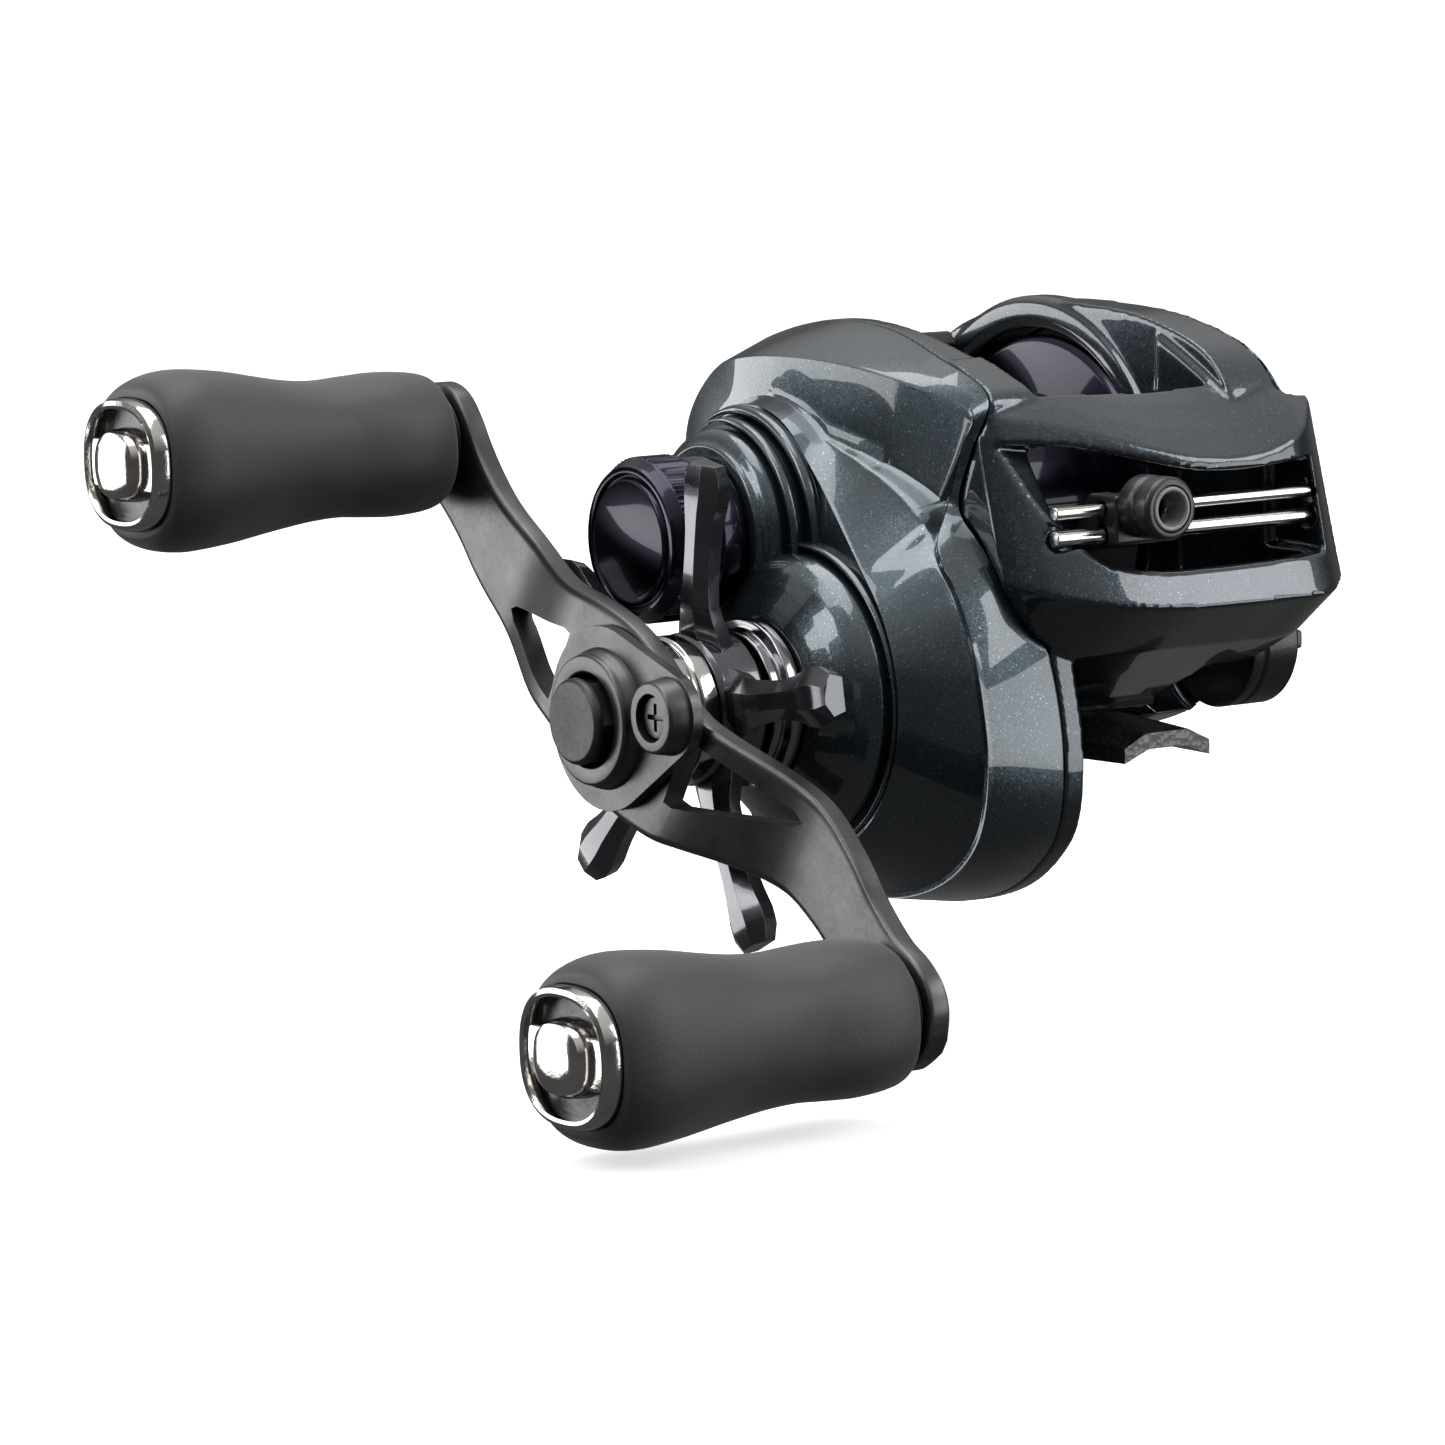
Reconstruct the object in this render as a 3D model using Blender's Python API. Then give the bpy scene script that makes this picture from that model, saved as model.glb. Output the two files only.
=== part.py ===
"""Low-profile baitcasting reel, right-hand retrieve, as an assembly of separate parts.

Frame: the origin is the centre of the reel foot's underside, +Z up, +Y to the rear
(towards the angler), -Y to the front (line guide), -X the handle side.  The spool turns
about an axis along X.  Every length below is in millimetres and becomes metres in MM.
"""
import bpy
import bmesh
from math import acos, atan2, cos, hypot, pi, radians, sin, sqrt, tan
from mathutils import Matrix, Vector, geometry

MM = 0.001
GAP = 0.3                          # clearance between touching pieces

# ---- driving dimensions ----------------------------------------------------------------
SPOOL_Y, SPOOL_Z = 2.0, 19.7       # spool axis
MAIN_MODULE = 0.35                 # fine-pitch main gears
DRIVE_TEETH, PINION_TEETH = 91, 14
DRIVE_LEAN = 38.85                 # drive axis: degrees forward of straight below the spool
CENTRE = MAIN_MODULE * (DRIVE_TEETH + PINION_TEETH) / 2
DRIVE_Y = SPOOL_Y - CENTRE * sin(radians(DRIVE_LEAN))
DRIVE_Z = SPOOL_Z - CENTRE * cos(radians(DRIVE_LEAN))
SPOOL_HALF = 11.0                  # half width of the spool
FLANGE_R = 16.2                    # spool flange radius
RING_R = 17.0                      # inside radius of the frame ring round the palm flange
PLATE_IN = 11.6                    # inner faces of the side plates
HANDLE_R = 42.0                    # handle axis to knob axis
HANDLE_ANGLE = 32.6                # slope of the handle at rest, degrees
WORM_Y, WORM_Z = -22.9, 11.4       # worm shaft axis
PIN_X = -15.1                      # cross pin of the spool shaft that drives the pinion
ROD_Y, ROD_HIGH_Z, ROD_LOW_Z = -31.6, 22.8, 20.5
FOOT_LENGTH, FOOT_WIDTH, FOOT_THICK = 58.0, 10.0, 2.4
SMALL_MODULE = 0.4                 # level-wind gear train
WIND_TEETH, IDLER_TEETH, WORM_TEETH = 26, 30, 14
SPOOL_AXIS = (0.0, SPOOL_Y, SPOOL_Z)
DRIVE_AXIS = (0.0, DRIVE_Y, DRIVE_Z)
WORM_AXIS = (0.0, WORM_Y, WORM_Z)
MAIN_GEAR_X = (-20.2, -17.4)       # faces of the drive gear's toothed rim
WIND_GEAR_X = (-16.2, -15.2)       # faces of the level-wind gears
BULGE_R, BULGE_X = 13.8, 27.5      # ring at the foot of the gear bulge
BOSS_R = 22.8                      # raised round band about the drive axis
STAR_TIP_R = 23.0
KNOB_END = 79.2
HUB_OUT, ARM_END_OUT, ARM_THICK = 48.0, 43.7, 2.2

# ---- side outlines ---------------------------------------------------------------------
# Handle-side cover, going round from the middle of the back over the top to the front:
# (y, z, x outwards) on the rim, then on the crease where the side wall meets the face.
HANDLE_SIDE = [
    ((21.6, 22.0, 14.0), (19.4, 21.6, 19.8)),
    ((20.9, 29.6, 14.0), (18.6, 28.8, 19.8)),
    ((16.6, 35.0, 14.0), (13.6, 33.7, 20.4)),
    ((9.8, 37.6, 14.0), (7.2, 35.4, 21.6)),
    ((2.0, 38.8, 14.0), (-0.8, 35.9, 21.8)),
    ((-6.1, 38.3, 14.0), (-8.4, 35.5, 20.9)),
    ((-14.6, 36.4, 15.2), (-16.2, 34.1, 19.6)),
    ((-24.6, 33.3, 16.8), (-23.8, 31.9, 18.2)),
    ((-24.0, 28.7, 18.1), (-23.1, 28.6, 18.7)),
    ((-22.0, 23.3, 18.3), (-21.0, 23.4, 18.8)),
    ((-24.4, 20.1, 17.9), (-23.4, 19.8, 21.9)),
    ((-27.2, 16.4, 16.6), (-26.3, 15.9, 22.0)),
    ((-28.9, 12.8, 14.8), (-28.3, 12.0, 22.0)),
    ((-30.3, 7.8, 14.0), (-29.9, 7.0, 22.1)),
    ((-31.5, 1.2, 14.0), (-30.8, 0.8, 22.1)),
    ((-30.9, -5.0, 14.0), (-29.7, -5.0, 22.0)),
    ((-28.2, -9.0, 14.0), (-26.8, -8.9, 22.0)),
    ((-22.6, -12.6, 14.0), (-21.4, -11.9, 21.9)),
    ((-14.0, -14.6, 14.0), (-13.6, -13.5, 21.6)),
    ((-4.0, -14.0, 14.0), (-4.4, -12.8, 21.3)),
    ((5.0, -10.4, 14.0), (4.2, -9.4, 21.0)),
    ((12.4, -4.0, 14.0), (11.0, -3.4, 20.6)),
    ((17.6, 4.6, 14.0), (15.8, 4.8, 20.2)),
    ((20.6, 13.6, 14.0), (18.6, 13.6, 19.9)),
]
# Palm side: the same top line, with a lower edge that follows the spool instead of a gear case.
PALM_SIDE = [
    ((21.6, 20.0, 14.0), (17.6, 20.0, 21.4)),
    ((20.9, 29.6, 14.0), (16.8, 27.6, 21.4)),
    ((16.6, 35.0, 14.0), (12.6, 32.2, 21.4)),
    ((9.8, 37.8, 14.0), (6.8, 34.6, 21.4)),
    ((2.0, 39.2, 14.0), (0.0, 35.6, 21.4)),
    ((-6.1, 39.2, 14.0), (-6.8, 35.4, 21.4)),
    ((-14.6, 38.4, 14.4), (-13.6, 34.2, 21.2)),
    ((-23.0, 35.8, 15.0), (-20.6, 31.6, 20.6)),
    ((-27.4, 31.4, 15.4), (-24.4, 27.6, 20.0)),
    ((-28.6, 25.4, 15.4), (-25.8, 23.0, 19.8)),
    ((-28.4, 18.4, 15.0), (-25.6, 17.6, 20.0)),
    ((-26.6, 11.4, 14.4), (-23.6, 11.8, 20.4)),
    ((-21.8, 4.6, 14.0), (-18.8, 6.6, 21.0)),
    ((-13.6, 0.2, 14.0), (-11.6, 3.4, 21.4)),
    ((-3.6, -1.6, 14.0), (-3.0, 2.2, 21.4)),
    ((6.4, -0.4, 14.0), (5.2, 3.2, 21.4)),
    ((14.4, 4.0, 14.0), (11.6, 7.0, 21.4)),
    ((19.8, 11.2, 14.0), (16.2, 12.8, 21.4)),
]
# Nose, from the handle side to the palm side: x, then (y, z) of the hood's back edge, the
# hood's crease, the window sill, the lower crease and the foot of the lower chamfer.
NOSE = [
    (-17.9, (-17.0, 34.9), (-24.0, 31.9), (-28.0, 18.4), (-27.8, 16.6), (-25.6, 12.6)),
    (-15.8, (-17.0, 35.8), (-26.0, 31.2), (-32.2, 17.6), (-31.8, 15.7), (-28.4, 10.2)),
    (-11.0, (-17.0, 36.2), (-28.4, 30.2), (-34.8, 17.3), (-34.4, 14.7), (-30.4, 9.4)),
    (-5.0, (-17.0, 36.0), (-31.2, 28.4), (-36.1, 17.2), (-35.8, 14.0), (-31.0, 9.4)),
    (1.0, (-17.0, 36.0), (-33.0, 26.9), (-36.4, 17.2), (-36.1, 13.8), (-31.0, 9.4)),
    (8.0, (-17.0, 36.6), (-33.1, 26.7), (-36.2, 17.2), (-35.9, 13.8), (-31.0, 9.4)),
    (14.0, (-17.0, 37.4), (-32.0, 28.4), (-35.5, 17.2), (-35.2, 13.9), (-30.6, 9.6)),
    (18.0, (-17.0, 36.2), (-28.2, 31.0), (-32.4, 17.6), (-32.2, 14.8), (-27.6, 11.6)),
]
# Window between the hood and the lower bar, seen from the front: (x, z).
WINDOW = [(-15.6, 28.6), (-11.0, 28.3), (-5.0, 26.8), (1.0, 25.4), (8.0, 25.2), (14.6, 25.8),
          (14.6, 17.6), (1.0, 17.3), (-6.0, 17.6), (-10.4, 19.6), (-13.6, 23.4)]

SIDE_HUB = (-6.0, 20.0)            # every side outline is seen whole from here
FOOT_SCREWS = (-8.0, 8.0)
YOKE_PIN_Y, YOKE_PIN_Z = 6.2, 3.8   # about the spool axis
COVER_SCREWS = [(-26.0, -6.6, 21.4), (14.6, 29.0, 19.6), (13.0, 5.0, 19.6)]   # y, z, post end
DIAL_Y, DIAL_Z, DIAL_R = -17.6, 7.6, 6.4     # release dial at the palm side's lower front
STAR_FIRST = 80.5                  # angle of one star arm, from the front upwards, degrees


# ---- helpers ---------------------------------------------------------------------------
def clear_scene():
    for ob in list(bpy.data.objects):
        bpy.data.objects.remove(ob, do_unlink=True)


def material(name, colour, roughness, metallic):
    """One Principled material."""
    mat = bpy.data.materials.new(name)
    mat.use_nodes = True
    shader = mat.node_tree.nodes["Principled BSDF"]
    shader.inputs["Base Color"].default_value = (*colour, 1.0)
    shader.inputs["Roughness"].default_value = roughness
    shader.inputs["Metallic"].default_value = metallic
    mat.diffuse_color = (*colour, 1.0)
    return mat


def empty(name, at):
    """An empty on a joint's axis, the parent of the pieces that turn about it."""
    ob = bpy.data.objects.new(name, None)
    ob.location = Vector(at) * MM
    ob.empty_display_size = 0.01
    bpy.context.collection.objects.link(ob)
    return ob


def add(name, bm, mat, parent=None, at=(0, 0, 0), sharp=35):
    """Make a bmesh, in millimetres, into a named object placed at `at` under its parent."""
    bmesh.ops.remove_doubles(bm, verts=bm.verts, dist=1e-4)
    bmesh.ops.recalc_face_normals(bm, faces=bm.faces)
    if bm.calc_volume(signed=True) < 0:
        bmesh.ops.reverse_faces(bm, faces=bm.faces)
    bmesh.ops.scale(bm, vec=(MM, MM, MM), verts=bm.verts)
    mesh = bpy.data.meshes.new(name)
    bm.to_mesh(mesh)
    bm.free()
    mesh.shade_smooth()
    mesh.set_sharp_from_angle(angle=radians(sharp))
    ob = bpy.data.objects.new(name, mesh)
    ob.location = Vector(at) * MM
    ob.parent = parent
    if mat is not None:
        ob.data.materials.append(mat)
    bpy.context.collection.objects.link(ob)
    return ob


def train_corner():
    """(y, z) of the idler: it meshes with the gear on the handle shaft and with the worm's."""
    first = SMALL_MODULE * (WIND_TEETH + IDLER_TEETH) / 2
    second = SMALL_MODULE * (IDLER_TEETH + WORM_TEETH) / 2
    span = hypot(WORM_Y - DRIVE_Y, WORM_Z - DRIVE_Z)
    along = (first ** 2 - second ** 2 + span ** 2) / (2 * span)
    aside = sqrt(first ** 2 - along ** 2)
    y, z = (WORM_Y - DRIVE_Y) / span, (WORM_Z - DRIVE_Z) / span
    return DRIVE_Y + along * y - aside * z, DRIVE_Z + along * z + aside * y


def shape(ob, operation, tools):
    """Cut or join tool objects into ob with exact Booleans, then discard the tools."""
    for tool in tools:
        change = ob.modifiers.new(operation.lower(), "BOOLEAN")
        change.operation = operation
        change.solver = "EXACT"
        change.object = tool
    bpy.context.view_layer.update()
    depsgraph = bpy.context.evaluated_depsgraph_get()
    mesh = bpy.data.meshes.new_from_object(ob.evaluated_get(depsgraph), depsgraph=depsgraph)
    ob.modifiers.clear()
    ob.data = mesh
    for tool in tools:
        bpy.data.objects.remove(tool, do_unlink=True)
    tidy = bmesh.new()
    tidy.from_mesh(mesh)
    bmesh.ops.triangulate(tidy, faces=[face for face in tidy.faces if len(face.verts) > 4])
    tidy.to_mesh(mesh)
    tidy.free()
    mesh.set_sharp_from_angle(angle=radians(35))
    return ob


def simplify(ob):
    """Merge the slivers and near-flat facets that a row of Booleans leaves."""
    bm = bmesh.new()
    bm.from_mesh(ob.data)
    bmesh.ops.dissolve_limit(bm, angle_limit=radians(1.2), verts=bm.verts, edges=bm.edges)
    bmesh.ops.triangulate(bm, faces=bm.faces)
    bmesh.ops.dissolve_degenerate(bm, dist=3e-6, edges=bm.edges)
    bmesh.ops.triangulate(bm, faces=bm.faces)
    bm.to_mesh(ob.data)
    bm.free()
    ob.data.set_sharp_from_angle(angle=radians(35))
    return ob


def finish(ob, name, mat):
    """Give a built piece its node name and its only material."""
    ob.name = ob.data.name = name
    ob.data.materials.clear()
    ob.data.materials.append(mat)
    return ob


def cut(ob, *tools):
    return shape(ob, "DIFFERENCE", tools)


def join(ob, *tools):
    return shape(ob, "UNION", tools)


def lathe(profile, steps=32):
    """Solid turned about X from an (x, radius) profile: closed, or ending on the axis."""
    bm = bmesh.new()
    verts = [bm.verts.new((x, 0.0, r)) for x, r in profile]
    edges = [bm.edges.new(pair) for pair in zip(verts, verts[1:])]
    if profile[0][1] > 0:
        edges.append(bm.edges.new((verts[-1], verts[0])))
    bmesh.ops.spin(bm, geom=verts + edges, cent=(0, 0, 0), axis=(1, 0, 0),
                   angle=2 * pi, steps=steps, use_merge=True)
    return bm


def ring(x0, x1, inner, outer, steps=32):
    """A plain turned ring."""
    return lathe([(x0, inner), (x0, outer), (x1, outer), (x1, inner)], steps)


def disc(x0, x1, radius, steps=32):
    """A plain turned solid disc or pin."""
    return lathe([(x0, 0.0), (x0, radius), (x1, radius), (x1, 0.0)], steps)


def prism(outline, low, high, axis="X"):
    """Outline extruded along an axis: (y, z) points along X, (x, z) along Y, (x, y) along Z."""
    place = {"X": lambda a, b: (low, a, b), "Y": lambda a, b: (a, low, b),
             "Z": lambda a, b: (a, b, low)}[axis]
    bm = bmesh.new()
    face = bm.faces.new([bm.verts.new(place(a, b)) for a, b in outline])
    grown = bmesh.ops.extrude_face_region(bm, geom=[face])
    moved = [item for item in grown["geom"] if isinstance(item, bmesh.types.BMVert)]
    along = {"X": (1, 0, 0), "Y": (0, 1, 0), "Z": (0, 0, 1)}[axis]
    bmesh.ops.translate(bm, vec=Vector(along) * (high - low), verts=moved)
    return bm


def block(x0, x1, y0, y1, z0, z1):
    """A rectangular block between two corners."""
    return prism([(y0, z0), (y1, z0), (y1, z1), (y0, z1)], x0, x1)


def bridge(rings, hub=None):
    """Skin through closed rings of (x, y, z) points, its ends closed by fans about hub (y, z)."""
    bm = bmesh.new()
    rows = [[bm.verts.new(point) for point in points] for points in rings]
    for row, following in zip(rows, rows[1:]):
        for i in range(len(row)):
            j = (i + 1) % len(row)
            bm.faces.new((row[i], row[j], following[j], following[i]))
    for row in (rows[0], rows[-1]):
        centre = sum((vert.co for vert in row), Vector()) / len(row)
        if hub:
            centre = Vector((centre.x, *hub))
        middle = bm.verts.new(centre)
        for i in range(len(row)):
            bm.faces.new((row[i - 1], row[i], middle))
    return bm


def smooth_loop(points, steps):
    """Closed smooth curve through points, with `steps` samples to each span."""
    count = len(points)
    curve = []
    for i in range(count):
        a, b, c, d = (Vector(points[(i + k) % count]) for k in (-1, 0, 1, 2))
        for s in range(steps):
            t = s / steps
            curve.append(0.5 * (2 * b + (c - a) * t + (2 * a - 5 * b + 4 * c - d) * t * t
                                + (3 * b - a - 3 * c + d) * t ** 3))
    return curve


def upright(bm):
    """Stand a turned piece on end: what ran along X now runs along Z."""
    bmesh.ops.rotate(bm, matrix=Matrix.Rotation(radians(-90), 3, "Y"), verts=bm.verts)
    return bm


def circle(y, z, radius, steps):
    return [(y + radius * cos(2 * pi * i / steps), z + radius * sin(2 * pi * i / steps))
            for i in range(steps)]


def involute(angle):
    return tan(angle) - angle


def gear_outline(module, teeth, tooth_at, play=0.07):
    """Closed (y, z) outline of a gear with one tooth centred at angle tooth_at."""
    pitch_r = module * teeth / 2
    base_r = pitch_r * cos(radians(20))
    half_pitch = pi / (2 * teeth) - play / (2 * pitch_r)
    side = []
    for r in (pitch_r - 1.25 * module, pitch_r + 0.9 * module):
        pressure = acos(min(1.0, base_r / r))
        side.append((r, half_pitch + involute(radians(20)) - involute(pressure)))
    points = []
    for tooth in range(teeth):
        middle = tooth_at + 2 * pi * tooth / teeth
        for r, half in side:
            points.append((r * cos(middle - half), r * sin(middle - half)))
        for r, half in reversed(side):
            points.append((r * cos(middle + half), r * sin(middle + half)))
    return points


def gear(outline, x0, x1, bore, steps=28):
    """A gear with a round bore, its two faces filled between the outline and the bore."""
    bm = bmesh.new()
    for x in (x0, x1):
        loops = []
        for points in (outline, circle(0, 0, bore, steps)):
            verts = [bm.verts.new((x, y, z)) for y, z in points]
            loops += [bm.edges.new((verts[i - 1], verts[i])) for i in range(len(verts))]
        bmesh.ops.triangle_fill(bm, use_beauty=True, edges=loops)
    bm.verts.ensure_lookup_table()
    for first, count in ((0, len(outline)), (len(outline), steps)):
        other = first + len(outline) + steps
        for i in range(count):
            j = (i + 1) % count
            bm.faces.new([bm.verts[k] for k in (first + i, first + j, other + j, other + i)])
    return bm


def mesh_angle(first, second):
    """Angle, in the YZ plane, from one axis to another."""
    return atan2(second[2] - first[2], second[1] - first[1])


IDLER_AXIS = (0.0, *train_corner())
clear_scene()
BODY = material("pearl_gunmetal", (0.07, 0.09, 0.105), 0.22, 0.75)
FRAME = material("frame_gunmetal", (0.05, 0.065, 0.078), 0.26, 0.75)
BLACK = material("black_plastic", (0.012, 0.012, 0.014), 0.42, 0.0)
RUBBER = material("soft_grip", (0.045, 0.047, 0.052), 0.72, 0.0)
DARK_METAL = material("dark_anodised", (0.05, 0.05, 0.055), 0.36, 0.85)
NAVY = material("navy_anodised", (0.045, 0.045, 0.085), 0.25, 0.9)
STEEL = material("polished_steel", (0.55, 0.54, 0.52), 0.18, 1.0)
NICKEL = material("bright_nickel", (0.6, 0.58, 0.55), 0.14, 1.0)
BRASS = material("brass", (0.52, 0.37, 0.16), 0.3, 1.0)
CARBON = material("carbon_fibre", (0.02, 0.02, 0.022), 0.55, 0.0)
CERAMIC = material("guide_ceramic", (0.18, 0.17, 0.16), 0.25, 0.0)

spool_axis = empty("spool_axis", SPOOL_AXIS)
drive_axis = empty("drive_axis", DRIVE_AXIS)
worm_axis = empty("worm_axis", WORM_AXIS)


# ---- side covers and frame -------------------------------------------------------------
def rim(side, steps=2):
    return smooth_loop([row[0] for row in side], steps)


def crease(side, steps=2):
    return smooth_loop([row[1] for row in side], steps)


def at_x(points, x):
    """The (y, z) of each point at a fixed x."""
    return [(x, p[0], p[1]) for p in points]


def outward(points, sign, shift=0.0):
    """Points as (x, y, z) on their own side of the reel, moved outwards by shift."""
    return [(sign * (p[2] + shift), p[0], p[1]) for p in points]


def shrink(points, wall):
    """Outline moved inwards by a wall thickness."""
    count = len(points)
    moved = []
    for i in range(count):
        along = Vector(points[(i + 1) % count][:2]) - Vector(points[i - 1][:2])
        normal = Vector((-along.y, along.x)).normalized()
        inner = Vector(points[i][:2]) + normal * wall
        moved.append((inner.x, inner.y, points[i][2]))
    return moved


def towards(points, y, z, share, depth):
    """Outline drawn in towards (y, z), at a given outward distance."""
    return [(p[0] + (y - p[0]) * share, p[1] + (z - p[1]) * share, p[2] + depth) for p in points]


def side_solid(side, sign, face):
    """Side cover as a solid: rim, side wall, crease and crowned face."""
    crown = towards(crease(side), -3.0, 14.0, 0.4, face)
    return add("solid", bridge([outward(rim(side), sign), outward(crease(side), sign),
                                outward(crown, sign)], SIDE_HUB), None)


def side_hollow(side, sign, wall):
    """The room inside a side cover: straight walls and a floor one wall thickness in."""
    inner = shrink(crease(side), wall)
    return add("hollow", bridge([at_x(inner, sign * 8.0), outward(inner, sign, -wall)], SIDE_HUB),
               None)


def handle_side_cover():
    cover = side_solid(HANDLE_SIDE, -1, 1.2)
    boss = add("boss", lathe([(-18.2, 0.0), (-18.2, BOSS_R - 0.3), (-23.6, BOSS_R - 0.3),
                              (-BULGE_X, BULGE_R), (-BULGE_X, 0.0)], 36), None, at=DRIVE_AXIS)
    within = add("within", bridge([at_x(shrink(crease(HANDLE_SIDE), 0.15), x)
                                   for x in (-10.0, -30.0)], SIDE_HUB), None)
    shape(boss, "INTERSECT", [within])
    dome = add("dome", lathe([(-18.4, 0.0), (-18.4, BULGE_R), (-28.0, BULGE_R), (-29.6, 12.6),
                              (-31.2, 10.6), (-32.4, 8.2), (-32.4, 0.0)], 28), None, at=DRIVE_AXIS)
    tower = add("tower", lathe([(-18.0, 0.0), (-18.0, 11.2), (-24.6, 10.8), (-28.4, 9.7),
                                (-29.8, 8.2), (-29.8, 5.8), (-35.0, 5.8), (-35.0, 0.0)], 28),
                None, at=SPOOL_AXIS)
    gear_room = add("gear_room", lathe([(-12.0, 0.0), (-12.0, 17.0), (-21.4, 17.0), (-25.0, 12.0),
                                        (-25.0, 5.8), (-31.8, 5.8), (-31.8, 4.6), (-34.4, 4.6),
                                        (-34.4, 0.0)], 26), None, at=DRIVE_AXIS)
    pinion_room = add("pinion_room", lathe([(-12.0, 0.0), (-12.0, 9.4), (-25.3, 9.4), (-25.3, 4.6),
                                            (-28.7, 4.6), (-28.7, 3.6), (-37.0, 3.6),
                                            (-37.0, 0.0)], 24), None, at=SPOOL_AXIS)
    cut(dome, add("cap_room", disc(-45.0, -29.85, 8.05, 28), None, at=SPOOL_AXIS))
    for raised in (tower, boss, dome):
        join(cover, raised)
    for room in (gear_room, pinion_room, side_hollow(HANDLE_SIDE, -1, 1.6)):
        cut(cover, room)
    for y, z, end in COVER_SCREWS:
        join(cover, add("post", disc(-end, -15.0, 2.2, 16), None, at=(0, y, z)))
        cut(cover, add("bore", disc(0.3 - end, -10.0, 1.0, 12), None, at=(0, y, z)))
    return finish(simplify(cover), "handle_side_cover", BODY)


def plate(side, sign, inner, hole, steps=2):
    """Side plate of the frame: a seam-shaped slab with a round hole for the spool."""
    outer = rim(side, steps)
    slab = add("plate", bridge([at_x(outer, sign * inner), outward(outer, sign, 1.0)],
                               SIDE_HUB), None)
    return cut(slab, add("hole", disc(-40, 40, hole, 40), None, at=SPOOL_AXIS))


def beyond(side, sign):
    """Everything outside the seam surface of one side, to trim the frame with."""
    outer = shrink(rim(side), -0.15)
    return add("beyond", bridge([outward(outer, sign, -GAP), at_x(outer, sign * 40)], SIDE_HUB),
               None)


def nose():
    """Hood and lower bar as one skin across the reel, before the window is cut."""
    rings = [[(x, *top), (x, *fold), (x, *sill), (x, *lower), (x, *heel), (x, -15.0, 2.2)]
             for x, top, fold, sill, lower, heel in NOSE]
    return add("nose", bridge(rings), None)


def carriage_bay():
    """The hollow behind the window where the line guide travels, shallower at its two ends."""
    side = [(-15.0, 5.0), (-26.0, 9.0), (-32.6, 12.4), (-34.6, 16.0), (-34.6, 20.0),
            (-32.4, 25.2), (-28.0, 28.4), (-24.0, 30.0), (-15.0, 31.0)]
    return bridge([[(x, -15.0 + (y + 15.0) * share, z) for y, z in side]
                   for x, share in ((-13.4, 0.78), (-10.0, 0.96), (10.0, 0.96), (13.4, 0.94))])


def yoke_pin_place(y):
    return (0, SPOOL_Y + y, SPOOL_Z + YOKE_PIN_Z)


def main_frame():
    frame = plate(HANDLE_SIDE, -1, PLATE_IN, 4.2)
    palm = plate(PALM_SIDE, 1, 9.4, RING_R)
    deck = add("deck", block(-13.0, 13.0, -16.0, 15.0, 1.9, 3.2), None)
    back = add("back", prism([(18.4, 11.0), (20.4, 10.6), (17.4, 4.6), (13.8, 1.9), (10.0, 1.9),
                              (13.6, 5.6)], -12.5, 12.5), None)
    join(frame, palm, nose(), deck, back)
    bay = add("bay", carriage_bay(), None)
    spool_room = add("spool_room", disc(-PLATE_IN - 0.05, 20.0, FLANGE_R + 0.5, 40), None, at=SPOOL_AXIS)
    opening = add("opening", prism([(-24.6, 26.5), (-24.6, 50.0), (30.0, 50.0), (30.0, 12.5),
                                    (16.0, 12.5), (0.0, 24.0)], -PLATE_IN - 0.03, 9.43), None)
    window = add("window", prism(WINDOW, -42.0, -27.2, "Y"), None)
    for tool in (bay, spool_room, opening, window, beyond(HANDLE_SIDE, -1), beyond(PALM_SIDE, 1)):
        cut(frame, tool)
    stud = add("stud", disc(-16.8, -12.6, 1.6, 14), None, at=IDLER_AXIS)
    pins = [add("yoke_pin", disc(-24.4, -12.6, 0.5, 8), None, at=yoke_pin_place(y))
            for y in (-YOKE_PIN_Y, YOKE_PIN_Y)]
    join(frame, stud, *pins)
    holes = [disc(-20.0, -10.0, 4.5, 20), disc(-20.0, -10.0, 1.6, 12), disc(10.0, 15.2, 1.6, 12)]
    places = [DRIVE_AXIS, WORM_AXIS, WORM_AXIS]
    for y, z, end in COVER_SCREWS:
        holes.append(lathe([(-20.0, 0.0), (-20.0, 0.95), (-12.9, 0.95), (-12.9, 1.35),
                            (-10.0, 1.35), (-10.0, 0.0)], 12))
        places.append((0, y, z))
    for y in FOOT_SCREWS:
        holes.append(upright(disc(1.0, 5.0, 1.1, 12)))
        places.append((0, y, 0))
    for z in (ROD_HIGH_Z, ROD_LOW_Z):
        holes.append(disc(-15.2, 15.2, 1.05, 12))
        places.append((0, ROD_Y, z))
    holes.append(disc(9.0, 30.0, DIAL_R + 0.4, 32))
    places.append((5.5, DIAL_Y, DIAL_Z))
    for hole, place in zip(holes, places):
        cut(frame, add("hole", hole, None, at=place))
    return finish(simplify(frame), "main_frame", FRAME)


def palm_side_cover():
    """Dished palm-side cover with a bearing boss inside and its corner let out for the dial."""
    cover = cut(side_solid(PALM_SIDE, 1, 1.0), side_hollow(PALM_SIDE, 1, 1.5))
    boss = add("boss", ring(15.6, 21.6, 4.5, 6.0, 28), None, at=SPOOL_AXIS)
    join(cover, boss)
    cut(cover, add("corner", disc(10.0, 30.0, DIAL_R + 0.4, 36), None, at=(0, DIAL_Y, DIAL_Z)))
    cut(cover, add("seat", disc(21.9, 30.0, 7.3, 36), None, at=SPOOL_AXIS))
    return finish(simplify(cover), "palm_side_cover", BODY)


handle_side_cover()
main_frame()
palm_side_cover()


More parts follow.
